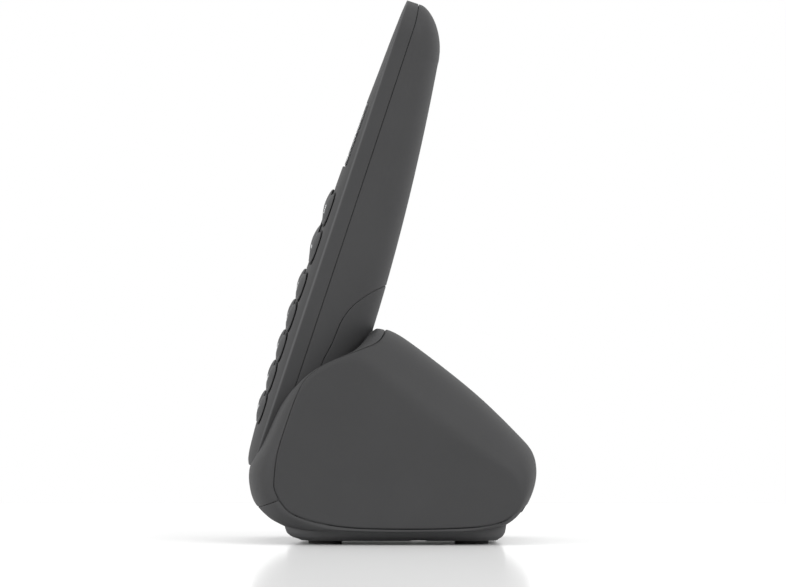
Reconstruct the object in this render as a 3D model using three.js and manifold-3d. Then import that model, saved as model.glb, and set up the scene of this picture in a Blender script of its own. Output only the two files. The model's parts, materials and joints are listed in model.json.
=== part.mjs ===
// Cordless phone: a handset standing in its tilted charging base.
// Millimetres, +Z up. X is the width, the front faces -Y, the feet stand on Z = 0.
// The handset has a frame of its own, leaning back with it: x is the width, y goes from
// the crease of its face towards its back, z runs up its length from the lower tip.
import * as THREE from "three";
import { mergeVertices } from "three/addons/utils/BufferGeometryUtils.js";
import Module from "manifold-3d";

const wasm = await Module();
wasm.setup();

// ---------------------------------------------------------------- driving dimensions
const gap = 0.3; // clearance left between neighbouring pieces
const beyond = 60; // how far cuts and sweeps reach past a surface
const lap = 1; // how far joined solids reach into each other

// Handset body
const handsetTilt = 18.3; // degrees, leaning back
const handsetTip = { y: -43.04, z: 23.4 }; // lower end of the crease plane, in the base frame
const handsetLength = 151.6;
const handsetHalfWidth = 24;
const handsetDepth = 21.9; // crease plane to the deepest point of the back
const deepestStation = 46; // how far up the length the back is deepest
const backTaper = 0.00205; // how fast the back thins above its deepest station
const backTaperPower = 1.8;
const tipTaper = 0.0012; // how fast it thins below, by the square of the distance
const handsetWall = 1.8;
const bandDepth = 4.8; // flat side of the front shell, from the crease to the seam
const bandNarrowing = 1.05; // what the side loses at the top of the handset
const bandNarrowingLength = 8.6;
const backRoundness = 2.6; // superellipse exponent of the back's section
const tipCornerRadius = 12;
const heelRadius = 4;
const topCornerLength = 14;
const topCornerRoundness = 3.3;
const topFallLength = 16;
const topFallRoundness = 1.7;
const topLipDepth = 4; // depth that is left at the very top of the handset
const topBlunting = 0.2; // keeps the fall a little short of the lip, so the top isn't pointed

// Crown of the face along the middle, as [station, height over the crease plane]
const crownLine = [
  [0, 1.6], [2, 2.5], [5, 2.87], [12, 3.36], [34, 3.65], [54, 3.74], [66, 3.58], [78, 3.3], [96, 2.88],
  [handsetLength - 33.6, 2], [handsetLength - 23.6, 1.5], [handsetLength - 13.6, 1.07],
  [handsetLength - 3.6, 0.47], [handsetLength, 0],
];
const crownRoundness = 2.7; // exponent of the crown's fall over the half width

// Keypad
const keyPitch = 11.4; // between the columns
const keyWidth = 9.4;
const keyLength = 8.4;
const keyRowPitch = 9.9;
const keyRowArch = 1.6; // the outer keys of a row lie this far below its middle key
const topDigitRow = 58.8;
const keyRise = 1.25; // dome over the face
const keyPeakDrop = 0.8; // the dome's peak lies this far below the key's middle
const keyEdgeRise = 0.2; // edge over the face, where the dome starts
const keyRootDepth = 0.3; // keys end this far behind the crease plane
const keyTravel = 0.8;
const functionKeyOffset = 12.1;
const functionKeyWidth = 8.2;
const functionKeyLength = 9.9;
const functionRows = [82.5, 70.1];
const navigationKeyWidth = 13.6;
const navigationKeyLength = 22;
const navigationKeyStation = 78.1;
const navigationKeyRise = 0.4; // its middle over the face, between its two domes
const navigationDomeWidth = 11.2;
const navigationDomeLength = 9.6;
const navigationDomeInset = 0.2; // between a dome's end and the key's

// Display
const lensHalfWidth = 16.9;
const lensBottom = 96.9;
const lensLength = 20.4;
const lensThickness = 1.4;
const lensFaceBottom = 1.9; // height of the lens face over the crease plane, lower end
const lensFaceTop = 1.5;
const displayHalfWidth = 15;
const displayMargin = 1.6; // from the lens ends to the display's ends
const displayThickness = 2.4;

// Handset internals
const receiverRadius = 8;
const receiverHeight = 4;
const receiverDrop = 2.45; // its middle lies this far below the middle of lens and handset top
const earSlots = { offsets: [-3, 0, 3], length: 9, width: 1.2 };
const matThickness = 1.1;
const matMargin = 1;
const boardThickness = 1.2;
const boardHalfWidth = 17.3;
const boardBottom = 13;
const boardToReceiver = 2;
const microphoneRadius = 3;
const microphoneHeight = 2.4;
const microphoneStation = 9.2;
const microphoneHoleRadius = 0.7;
const ringerRadius = 9;
const ringerHeight = 3.8;
const ringerToBoardTop = 10;
const ringerSlots = { offsets: [-3, 0, 3], length: 10, width: 1.2 };
const handsetAntenna = { halfWidth: 12, length: 4, thickness: 1, inset: 1 };
const handsetShield = { left: -14, right: 10, length: 18, thickness: 2.2, toRinger: 4 };
const cellRadius = 5.2;
const cellLength = 44.5;
const cellPitch = 12;
const cellBevel = 0.4;
const cellCapRadius = 1.9;
const cellCapHeight = 1.1;
const baySheetThickness = 1.2;
const bayDepth = 5.4; // crease plane to the bay sheet
const bayBottom = 8.2;
const contactSheetThickness = 0.8;
const contactSheetReach = 3.5; // past the axes of the cells
const caseScrewOffset = 19.8;
const caseScrewStation = 47;
const caseScrewShaftRadius = 0.9;
const caseScrewHeadRadius = 1.5;
const caseScrewHeadHeight = 1;
const caseScrewLength = 5.5;
const caseBossWall = 1;

// Charging contacts
const chargeOffset = 6;
const chargeDepth = 10.6; // crease plane to the contacts
const padHalfWidth = 1.9;
const padHalfDepth = 1.5;
const padThickness = 1.5;
const padRecess = 0.5;
const pinTipRadius = 0.9;
const pinTipBevel = 0.4;
const pinShoulderRadius = 1.4;
const pinShoulderHeight = 2.2;
const pinTravel = 0.8;
const holderWall = 1;

// Battery door
const doorBottom = 4;
const doorEdge = [
  [66.8, 22.6], [62.4, 17.9], [56.8, 13.7], [51.4, 11.8], [43.4, 11.4], [38.5, 10.4], [33, 10.2],
]; // its upper edge seen from the side, as [station, depth]

// Base
const baseHalfWidth = 38;
const baseFlatHalfWidth = 8; // the middle stretch whose outline doesn't change
const pillowRoundness = 2.3;
const baseWall = 2.2;
const pocketClearance = 0.45;
const pocketWall = 1.9;
const pocketFloorGap = 0.5;
const baseUnderside = 3.7; // height of the pillow's lowest stretch
const plinthHalfWidth = baseHalfWidth - 8;
const plinthFront = -33.2;
const plinthRear = 34.9;
const plinthCornerRadius = 10;
const plinthBottom = 1;
const plinthTop = 5.6;
const plinthSlope = 2.9; // how far its foot draws in at the sides and the rear
const plinthFrontSlope = 5.6; // and at the front
const throatSpare = 0.4; // how far the opening over the plinth reaches past the wall
const trayFloor = 2;
const footRadius = 5;
const footHeight = 1.7;
const footInset = 10.5; // foot centre to the plinth's sides and rear
const frontFootInset = 12.4;

// The base's outline at the middle and at its flat sides, as pairs of [y, z]:
// down the front, back along the bottom, up the rear and over the slope to the rim.
const baseOutline = [
  [[-43.9, 24.3], [-34.1, 25.0]],
  [[-44.5, 20.5], [-34.5, 20.5]],
  [[-43.9, 15.8], [-34.4, 15.8]],
  [[-42.3, 11.2], [-33.5, 12.2]],
  [[-38.9, 8.1], [-30.8, 9.4]],
  [[-34.5, 5.6], [-25.5, 7.0]],
  [[-30.5, 4.0], [-18.0, 5.1]],
  [[-10.0, baseUnderside], [-6.0, 4.1]],
  [[12.0, baseUnderside], [10.0, 4.0]],
  [[31.5, 4.0], [25.0, 4.6]],
  [[36.2, 5.9], [31.5, 5.9]],
  [[39.2, 8.5], [35.2, 7.7]],
  [[42.0, 12.7], [37.4, 10.6]],
  [[44.0, 18.0], [38.6, 13.8]],
  [[44.5, 22.8], [38.2, 18.0]],
  [[43.2, 28.0], [35.6, 21.4]],
  [[38.9, 32.9], [30.0, 24.4]],
  [[26.1, 45.3], [15.7, 33.2]],
  [[6.4, 60.8], [-3.3, 48.0]],
  [[1.0, 64.4], [-8.2, 52.6]],
  [[-2.9, 65.9], [-11.4, 55.2]],
  [[-5.8, 66.0], [-14.0, 55.6]],
  [[-11.0, 63.9], [-17.0, 54.8]],
  [[-20.5, 58.9], [-21.5, 52.9]],
  [[-27.2, 54.2], [-25.4, 49.6]],
  [[-33.0, 47.0], [-28.2, 44.8]],
  [[-37.2, 38.5], [-30.9, 37.0]],
  [[-40.8, 30.0], [-33.2, 30.0]],
];

// Seams between the base's three mouldings, seen from the side, as [y, z]
const insertSeam = [
  [-1.5, 72], [-2.7, 64.4], [-4.9, 61.9], [-9.3, 60.1], [-19.5, 56], [-23.9, 53.3], [-27, 50.5],
  [-29.2, 46.4], [-32.7, 36.6], [-35.3, 27.7], [-36.1, 21.1], [-36.2, 17.5], [-34.6, 13.8],
];
const lipSeam = [[-34.6, 13.8], [-41.5, 11], [-60, 6.5]];
const traySeam = [
  [-34.6, 13.8], [-31.8, 10.4], [-27.1, 8.1], [-20.9, 6.5], [-13.2, 5.4], [2.3, 4.9],
  [17.8, 5.1], [27.1, 5.7], [31.8, 6.6], [34.9, 7.8], [37.4, 9.6], [60, 19],
];

// Base internals
const baseScrewOffset = plinthHalfWidth - 4.5;
const baseBoardHalfWidth = baseScrewOffset - 4.5;
const baseBoardFront = -30;
const baseBoardRear = 34;
const baseBoardThickness = 1.6;
const baseBoardHeight = 7.5;
const standoffRadius = 2.4;
const standoffInset = 4;
const baseScrewY = 8;
const baseScrewShaftRadius = 1.4;
const baseScrewHeadRadius = 2.6;
const baseScrewHeadHeight = 1.6;
const baseScrewLength = 15;
const baseBossWall = 1.6;
const trayPostHeight = 3.5; // over the tray's floor
const jackRear = 41.8;
const powerJack = { x: -11.5, width: 9, depth: 12, height: 10, bore: 3, pin: 0.8 };
const lineJack = { x: 9.5, width: 13, depth: 14, height: 11, mouth: 9.6, mouthHeight: 7 };
const socketDepth = 9;
const socketPinSetback = 1; // the power jack's pin ends this far inside its mouth
const pageButtonFace = -43.7; // at its middle
const pageButtonRadius = 3.2;
const pageButtonHeight = 14.8;
const pageButtonStemRadius = 1.5;
const pageButtonLength = 9;
const pageButtonCap = 3;
const pageButtonTravel = 0.8;
const pageSwitch = { width: 6, depth: 4.4, top: 15.8 };
const baseAntenna = { x: 2.5 - baseBoardHalfWidth, thickness: 1, front: 0, rear: 27, height: 11 };
const shieldCan = { x: 9, y: 3, width: 17, depth: 18, height: 2.6 };

// ---------------------------------------------------------------- solids and lofts
// Ways to sweep an outline. place turns an outline's point and its level into x, y, z, and
// keeps its handedness; flatten gets the outline's point back.
const alongX = { place: (y, z, level) => [level, y, z], flatten: ([, y, z]) => new THREE.Vector2(y, z) };
const alongY = { place: (x, z, level) => [x, -level, z], flatten: ([x, , z]) => new THREE.Vector2(x, z) };
const alongZ = { place: (x, y, level) => [x, y, level], flatten: ([x, y]) => new THREE.Vector2(x, y) };

function toSolid(geometry) {
  const bare = geometry.clone();
  bare.deleteAttribute("normal");
  bare.deleteAttribute("uv");
  const merged = mergeVertices(bare, 1e-5);
  return new wasm.Manifold(new wasm.Mesh({
    numProp: 3,
    vertProperties: new Float32Array(merged.attributes.position.array),
    triVerts: new Uint32Array(merged.index.array),
  }));
}

// Welds points closer than a few microns, and drops the slivers that this closes.
const weld = 0.003;

function toGeometry(solid) {
  const mesh = solid.getMesh();
  const raw = new THREE.BufferGeometry();
  raw.setAttribute("position", new THREE.BufferAttribute(mesh.vertProperties, 3));
  raw.setIndex(new THREE.BufferAttribute(mesh.triVerts, 1));
  const geometry = mergeVertices(raw, weld);
  const corners = geometry.index.array;
  const kept = [];
  for (let i = 0; i < corners.length; i += 3) {
    const [a, b, c] = corners.slice(i, i + 3);
    if (a !== b && b !== c && c !== a) kept.push(a, b, c);
  }
  geometry.setIndex(kept);
  geometry.computeVertexNormals();
  return geometry;
}

// A closed solid through rings of equally many points, counter-clockwise seen from the last
// ring's side. flatten turns a ring's point into the 2-D point that its cap is cut by.
function loftRings(rings, flatten) {
  const count = rings[0].length;
  const index = [];
  for (let ring = 0; ring + 1 < rings.length; ring++) {
    for (let i = 0; i < count; i++) {
      const here = ring * count + i;
      const next = ring * count + ((i + 1) % count);
      index.push(here, next, next + count, here, next + count, here + count);
    }
  }
  const cap = (ring) => THREE.ShapeUtils.triangulateShape(ring.map(flatten), []);
  const last = (rings.length - 1) * count;
  for (const [a, b, c] of cap(rings[0])) index.push(a, c, b);
  for (const [a, b, c] of cap(rings.at(-1))) index.push(last + a, last + b, last + c);
  const geometry = new THREE.BufferGeometry();
  geometry.setAttribute("position", new THREE.Float32BufferAttribute(rings.flat(2), 3));
  geometry.setIndex(index);
  return geometry;
}

// The same through levels of { at, outline }.
function loft(levels, { place, flatten }) {
  const rings = levels.map(({ at, outline }) => outline.map(([u, v]) => place(u, v, at)));
  return loftRings(rings, flatten);
}

// A prism over an outline that may run either way round.
function slab(points, from, to, sweep) {
  const turns = THREE.ShapeUtils.area(points.map(([u, v]) => new THREE.Vector2(u, v)));
  const outline = turns < 0 ? [...points].reverse() : points;
  return toSolid(loft([{ at: from, outline }, { at: to, outline }], sweep));
}

// A box between two corners.
function block([x0, y0, z0], [x1, y1, z1]) {
  const box = new THREE.BoxGeometry(x1 - x0, y1 - y0, z1 - z0);
  return toSolid(box.translate((x0 + x1) / 2, (y0 + y1) / 2, (z0 + z1) / 2));
}

// A round bar or stepped pin from a profile of [radius, height], standing on z = 0.
function turned(profile, sides = 16) {
  const points = profile.map(([radius, height]) => new THREE.Vector2(radius, height));
  const foot = new THREE.Vector2(0, profile[0][1]);
  const top = new THREE.Vector2(0, profile.at(-1)[1]);
  return new THREE.LatheGeometry([foot, ...points, top], sides).rotateX(Math.PI / 2);
}

// An upright rod at [x, y], and one along y at [x, z].
const rod = (radius, from, to, [x, y], sides = 16) =>
  toSolid(turned([[radius, from], [radius, to]], sides).translate(x, y, 0));
const crossRod = (radius, from, to, [x, z], sides = 16) =>
  toSolid(turned([[radius, -to], [radius, -from]], sides).rotateX(Math.PI / 2).translate(x, 0, z));

const union = (first, ...others) => others.reduce((sum, each) => sum.add(each), first);
const without = (first, ...others) => others.reduce((rest, each) => rest.subtract(each), first);
const mirrored = [-1, 1];

// ---------------------------------------------------------------- curves
// Value at a station of the line through [station, value] points.
function follow(line, station) {
  const last = line.length - 1;
  const clamped = THREE.MathUtils.clamp(station, line[0][0], line[last][0]);
  const i = Math.min(line.findIndex(([s]) => s >= clamped), last) || 1;
  const t = (clamped - line[i - 1][0]) / (line[i][0] - line[i - 1][0]);
  return THREE.MathUtils.lerp(line[i - 1][1], line[i][1], t);
}

function spline(points, steps) {
  const curve = new THREE.SplineCurve(points.map(([u, v]) => new THREE.Vector2(u, v)));
  return curve.getPoints(steps).map((point) => [point.x, point.y]);
}

// Moves each point of a line to its left, which is inwards on a counter-clockwise outline.
function inset(outline, distance, closed = true) {
  const last = outline.length - 1;
  return outline.map(([u, v], i) => {
    const before = outline[i === 0 ? (closed ? last : 0) : i - 1];
    const after = outline[i === last ? (closed ? 0 : last) : i + 1];
    const length = Math.hypot(after[0] - before[0], after[1] - before[1]);
    return [
      u - (distance * (after[1] - before[1])) / length,
      v + (distance * (after[0] - before[0])) / length,
    ];
  });
}

// A rectangle with rounded corners, as a superellipse around [u, v].
function roundedOutline([u, v], width, height, exponent = 3.4, count = 12) {
  return Array.from({ length: count }, (_, i) => {
    const angle = ((i + 0.5) * 2 * Math.PI) / count;
    const [c, s] = [Math.cos(angle), Math.sin(angle)];
    return [
      u + (Math.sign(c) * Math.abs(c) ** (2 / exponent) * width) / 2,
      v + (Math.sign(s) * Math.abs(s) ** (2 / exponent) * height) / 2,
    ];
  });
}

// ---------------------------------------------------------------- handset form
function halfWidthAt(station) {
  const fromTip = THREE.MathUtils.clamp(tipCornerRadius - station, 0, tipCornerRadius);
  const topStart = handsetLength - topCornerLength;
  const intoTop = THREE.MathUtils.clamp((station - topStart) / topCornerLength, 0, 1);
  const tip = tipCornerRadius - Math.sqrt(tipCornerRadius ** 2 - fromTip ** 2);
  const top = (1 - intoTop ** topCornerRoundness) ** (1 / topCornerRoundness);
  return (handsetHalfWidth - tip) * top;
}

function depthAt(station) {
  const above = Math.max(station - deepestStation, 0);
  const below = Math.max(deepestStation - station, 0);
  const body = handsetDepth - backTaper * above ** backTaperPower - tipTaper * below ** 2;
  const heel = THREE.MathUtils.clamp(heelRadius - station, 0, heelRadius);
  const topStart = handsetLength - topFallLength;
  if (station <= topStart) return body - heelRadius + Math.sqrt(heelRadius ** 2 - heel ** 2);
  const fall = Math.min((station - topStart) / (topFallLength + topBlunting), 1);
  const reach = depthAt(topStart) - topLipDepth;
  return topLipDepth + reach * (1 - fall ** topFallRoundness) ** (1 / topFallRoundness);
}

function bandAt(station) {
  const above = Math.max(station - (handsetLength - bandNarrowingLength), 0);
  return bandDepth - bandNarrowing * (above / bandNarrowingLength) ** 2;
}

// Height of the face over the crease plane, at a point of its width.
const crownAt = (station, x) =>
  follow(crownLine, station) * (1 - Math.abs(x / handsetHalfWidth) ** crownRoundness);

// The back's curve over a half width, from one side of the seam to the other.
function backCurve(halfWidth, seam, reach, count) {
  return Array.from({ length: count + 1 }, (_, i) => {
    const angle = (i * Math.PI) / count;
    const across = i === count / 2 ? 0 : Math.cos(angle);
    const x = halfWidth * Math.sign(across) * Math.abs(across) ** (2 / backRoundness);
    return [x, seam + reach * Math.sin(angle) ** (2 / backRoundness)];
  });
}

// The handset's section at a station, moved inwards by a wall.
function handsetSection(station, wall, frontCount, backCount) {
  const halfWidth = halfWidthAt(station) - wall;
  const band = bandAt(station);
  const back = backCurve(halfWidth, band, depthAt(station) - wall - band, backCount);
  const front = Array.from({ length: frontCount + 1 }, (_, i) => {
    const x = halfWidth * ((2 * i) / frontCount - 1);
    return [x, wall - crownAt(station, (x * handsetHalfWidth) / halfWidthAt(station))];
  });
  return [...back, ...front];
}

// How far up the length each section stands: closer together near both ends.
const outerShares = [
  0, 0.008, 0.02, 0.045, 0.08, 0.15, 0.225, 0.305, 0.4, 0.475, 0.555, 0.633, 0.71,
  0.778, 0.84, 0.89, 0.925, 0.95, 0.972, 0.988, 0.999,
];
const innerShares = [0, 0.02, 0.07, 0.2, 0.305, 0.45, 0.6, 0.75, 0.86, 0.92, 0.96, 0.99];

function handsetBody(wall, shares = innerShares, frontCount = 6, backCount = 10) {
  return toSolid(loft(shares.map((share) => {
    const station = wall + share * (handsetLength - 2 * wall);
    return { at: station, outline: handsetSection(station, wall, frontCount, backCount) };
  }), alongZ));
}

// A slab over the whole width, with an outline of [y, z] in the frame it is used in.
const acrossAll = (outline) => slab(outline, -beyond, beyond, alongX);

// The space that the handset needs in its pocket: its own form, never narrower further up,
// open at the face, grown by a distance all round.
const pocketShares = [0, 0.01, 0.03, 0.06, 0.1, 0.15, 0.3, 0.55, 1];
const pocketFront = -30; // in front of the base
const pocketTop = 80; // above the base

function pocketForm(grown) {
  const floor = -pocketFloorGap - grown + pocketClearance;
  return toSolid(loft(pocketShares.map((share) => {
    const height = share * (pocketTop - floor);
    const station = Math.min(height, deepestStation);
    const halfWidth = halfWidthAt(station) + grown;
    const back = backCurve(halfWidth, bandDepth, depthAt(station) + grown - bandDepth, 16);
    return { at: floor + height, outline: [[halfWidth, pocketFront], ...back, [-halfWidth, pocketFront]] };
  }), alongZ));
}

// ---------------------------------------------------------------- assembly helpers
const assembly = new THREE.Group();
const cradle = new THREE.Group(); // the handset's frame, for what lines up with the docked handset
cradle.position.set(0, handsetTip.y, handsetTip.z);
cradle.rotation.x = -THREE.MathUtils.degToRad(handsetTilt);
cradle.updateMatrixWorld(true);
assembly.add(cradle);

const charcoal = { color: 0x4c4d50, roughness: 0.62, metalness: 0 };
const materials = {
  housing: charcoal,
  insert: { ...charcoal, color: 0x56575a },
  tray: { ...charcoal, color: 0x3e3f42 },
  key: { ...charcoal, color: 0x626366 },
  lens: { color: 0xd5d8dc, roughness: 0.08, metalness: 0 },
  liquidCrystal: { color: 0x8d9a8a, roughness: 0.25, metalness: 0 },
  silicone: { color: 0x3a3b3e, roughness: 0.85, metalness: 0 },
  rubber: { color: 0x232324, roughness: 0.9, metalness: 0 },
  board: { color: 0x1f5a3a, roughness: 0.5, metalness: 0 },
  metal: { color: 0xb9bcc0, roughness: 0.3, metalness: 1 },
  gold: { color: 0xc9a860, roughness: 0.3, metalness: 1 },
  cell: { color: 0x8f969c, roughness: 0.4, metalness: 0.3 },
  socket: { color: 0x18181a, roughness: 0.6, metalness: 0 },
};

function piece(parent, name, solid, finish) {
  const mesh = new THREE.Mesh(toGeometry(solid), new THREE.MeshStandardMaterial(materials[finish]));
  mesh.name = name;
  parent.add(mesh);
}

// A solid given in the handset's frame, moved to the base's frame.
const inBase = (solid) => toSolid(toGeometry(solid).applyMatrix4(cradle.matrixWorld));

// ---------------------------------------------------------------- keys
const digitNames = [
  ["key_1", "key_2", "key_3"], ["key_4", "key_5", "key_6"], ["key_7", "key_8", "key_9"],
  ["key_star", "key_0", "key_hash"], ["key_recall", "key_intercom", "key_mute"],
];
const functionNames = [["key_menu", "key_directory"], ["key_talk", "key_end"]];

const keys = digitNames.flatMap((names, row) => names.map((name, column) => ({
  name, x: (column - 1) * keyPitch,
  station: topDigitRow - row * keyRowPitch - keyRowArch * Math.abs(column - 1),
  width: keyWidth, length: keyLength,
})));
functionNames.forEach((names, row) => names.forEach((name, column) => keys.push({
  name, x: (2 * column - 1) * functionKeyOffset, station: functionRows[row],
  width: functionKeyWidth, length: functionKeyLength,
})));
const navigationKey = {
  name: "key_navigation", x: 0, station: navigationKeyStation,
  width: navigationKeyWidth, length: navigationKeyLength,
};

// A key: a straight root and a dome that follows the crown of the face around it.
function keySolid({ x, station, width, length }, rise = keyRise) {
  const edge = roundedOutline([x, station], width, length);
  const ring = (share, lift) => edge.map(([u, v]) => {
    const across = x + (u - x) * share;
    const along = station + (v - station) * share - keyPeakDrop * (1 - share);
    return [across, -crownAt(along, across) - lift, along];
  });
  const root = edge.map(([u, v]) => [u, keyRootDepth, v]);
  const rings = [root, ring(1, keyEdgeRise), ring(0.7, rise * 0.75), ring(0.15, rise)];
  return toSolid(loftRings(rings, ([u, , v]) => new THREE.Vector2(u, v)));
}

// The navigation key: a low plate with a dome at either end, for up and down.
const navigationDomeOffset = (navigationKeyLength - navigationDomeLength) / 2 - navigationDomeInset;
const navigationSolid = union(
  keySolid(navigationKey, navigationKeyRise),
  ...mirrored.map((end) => keySolid({
    x: 0, station: navigationKeyStation + end * navigationDomeOffset,
    width: navigationDomeWidth, length: navigationDomeLength,
  })),
);

const keyHole = ({ x, station, width, length }) =>
  slab(roundedOutline([x, station], width + 2 * gap, length + 2 * gap), -2, 12, alongY);

// ---------------------------------------------------------------- handset casing
const handsetOuter = handsetBody(0, outerShares, 8, 14);
const handsetMiddle = handsetBody(handsetWall / 2); // ends inner walls inside the shell's wall
const handsetInner = handsetBody(handsetWall);
const handsetCore = handsetBody(handsetWall + gap);
const handsetShell = handsetOuter.subtract(handsetInner);

// Display window: the lens lies in a flat-bottomed recess of the crowned face.
const lensTop = lensBottom + lensLength;
const lens = slab([
  [-lensFaceBottom, lensBottom], [lensThickness - lensFaceBottom, lensBottom],
  [lensThickness - lensFaceTop, lensTop], [-lensFaceTop, lensTop],
], -lensHalfWidth, lensHalfWidth, alongX);
const lensRecess = block(
  [-lensHalfWidth - gap, -beyond, lensBottom - gap],
  [lensHalfWidth + gap, lensThickness - lensFaceTop + gap, lensTop + gap],
);
const displayBottom = lensBottom + displayMargin;
const displayTop = lensTop - displayMargin;
const displayFront = lensThickness - lensFaceTop + gap;
const displayWindow = block(
  [-displayHalfWidth - gap, -beyond, displayBottom - gap],
  [displayHalfWidth + gap, bandDepth, displayTop + gap],
);
const display = block(
  [-displayHalfWidth, displayFront, displayBottom],
  [displayHalfWidth, displayFront + displayThickness, displayTop],
);

// Screws through the bay sheet into bosses of the front shell.
const bossRadius = caseScrewShaftRadius + gap + caseBossWall;
const bossEnd = bayDepth - gap;
const screwHeadDepth = bayDepth + baySheetThickness + gap;
const atCaseScrew = (side) => [side * caseScrewOffset, caseScrewStation];
const seamFront = bandDepth - gap / 2;
const caseBosses = mirrored.map((side) => union(
  crossRod(bossRadius, 0, seamFront, atCaseScrew(side)).intersect(handsetMiddle),
  crossRod(bossRadius, seamFront - lap, bossEnd, atCaseScrew(side)).intersect(handsetCore),
));
const caseBores = mirrored.map((side) =>
  crossRod(caseScrewShaftRadius + gap, screwHeadDepth - caseScrewLength - gap, beyond, atCaseScrew(side)));

const receiverStation = (lensTop + handsetLength) / 2 - receiverDrop;
const earSlot = (offset) => block(
  [-earSlots.length / 2, -beyond, receiverStation + offset - earSlots.width / 2],
  [earSlots.length / 2, handsetWall, receiverStation + offset + earSlots.width / 2],
);
const microphoneHole = crossRod(microphoneHoleRadius, -beyond, handsetWall, [0, microphoneStation], 10);
const frontRegion = acrossAll([
  [-beyond, -beyond], [seamFront, -beyond], [seamFront, handsetLength * 2], [-beyond, handsetLength * 2],
]);
const frontShell = without(
  union(handsetShell.intersect(frontRegion), ...caseBosses),
  ...[...keys, navigationKey].map(keyHole), lensRecess, displayWindow, ...caseBores,
  ...earSlots.offsets.map(earSlot), microphoneHole,
);

// Back shell: closed behind the cells by a sheet, which the door covers.
const seamBack = seamFront + gap;
const backRegion = acrossAll([
  [seamBack, -beyond], [beyond, -beyond], [beyond, handsetLength * 2], [seamBack, handsetLength * 2],
]);
const doorLine = spline(doorEdge, 18);
const doorRegion = (shrink) => {
  const line = inset(doorLine, -shrink, false);
  const side = line.at(-1)[1];
  return acrossAll([
    [side, doorBottom + shrink], [beyond, doorBottom + shrink], [beyond, line[0][0]],
    ...line.map(([station, depth]) => [depth, station]),
  ]);
};
const bayTop = bayBottom + 2 * (baySheetThickness + contactSheetThickness) + 4 * gap + cellLength;
const baySheet = block(
  [-beyond, bayDepth, 0], [beyond, bayDepth + baySheetThickness, bayTop],
).intersect(handsetMiddle);
const bayWall = (from) => block(
  [-beyond, bayDepth + baySheetThickness / 2, from], [beyond, beyond, from + baySheetThickness],
).intersect(handsetCore);
const padBack = padRecess + padThickness;
const padHole = (side) => block(
  [side * chargeOffset - padHalfWidth - gap, chargeDepth - padHalfDepth - gap, -lap],
  [side * chargeOffset + padHalfWidth + gap, chargeDepth + padHalfDepth + gap, padBack + gap],
);
const boardTop = receiverStation - receiverRadius - boardToReceiver;
const ringerStation = boardTop - ringerToBoardTop - ringerRadius;
const ringerSlot = (offset) => block(
  [offset - ringerSlots.width / 2, bayDepth, ringerStation - ringerSlots.length / 2],
  [offset + ringerSlots.width / 2, beyond, ringerStation + ringerSlots.length / 2],
);
const backShell = without(
  union(
    handsetShell.intersect(backRegion).subtract(doorRegion(-gap / 2)),
    baySheet, bayWall(bayBottom), bayWall(bayTop - baySheetThickness),
  ),
  ...caseBores, ...mirrored.map(padHole), ...ringerSlots.offsets.map(ringerSlot),
);
const batteryDoor = handsetShell.intersect(doorRegion(gap / 2));

piece(cradle, "handset_front_shell", frontShell, "housing");
piece(cradle, "handset_back_shell", backShell, "housing");
piece(cradle, "battery_door", batteryDoor, "housing");
piece(cradle, "display_lens", lens, "lens");
piece(cradle, "lcd_module", display, "liquidCrystal");
for (const key of keys) piece(cradle, key.name, keySolid(key), "key");
piece(cradle, navigationKey.name, navigationSolid, "key");

// ---------------------------------------------------------------- handset internals
const matFront = keyRootDepth + keyTravel + gap;
const boardFront = matFront + matThickness + gap;
const boardBack = boardFront + boardThickness;
const keypadTop = navigationKeyStation + navigationKeyLength / 2;
const mat = block(
  [-boardHalfWidth, matFront, boardBottom],
  [boardHalfWidth, matFront + matThickness, keypadTop + matMargin],
);
const handsetBoard = block(
  [-boardHalfWidth, boardFront, boardBottom], [boardHalfWidth, boardBack, boardTop],
).subtract(block(
  [-displayHalfWidth - gap, 0, displayBottom - gap],
  [displayHalfWidth + gap, displayFront + displayThickness + gap, displayTop + gap],
));
const behindFace = (station, x) => handsetWall + gap - crownAt(station, x); // clear of the front wall
const receiverFront = behindFace(receiverStation + receiverRadius, receiverRadius);
const receiver = crossRod(
  receiverRadius, receiverFront, receiverFront + receiverHeight, [0, receiverStation], 24,
);
const microphoneFront = behindFace(microphoneStation - microphoneRadius, microphoneRadius);
const microphone = crossRod(
  microphoneRadius, microphoneFront, microphoneFront + microphoneHeight, [0, microphoneStation],
);
const behindBoard = boardBack + gap;
const ringer = crossRod(ringerRadius, behindBoard, behindBoard + ringerHeight, [0, ringerStation], 24);
const antennaTop = boardTop - handsetAntenna.inset;
const antennaStrip = block(
  [-handsetAntenna.halfWidth, behindBoard, antennaTop - handsetAntenna.length],
  [handsetAntenna.halfWidth, behindBoard + handsetAntenna.thickness, antennaTop],
);
const shieldTop = ringerStation - ringerRadius - handsetShield.toRinger;
const radioShield = block(
  [handsetShield.left, behindBoard, shieldTop - handsetShield.length],
  [handsetShield.right, behindBoard + handsetShield.thickness, shieldTop],
);

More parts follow.
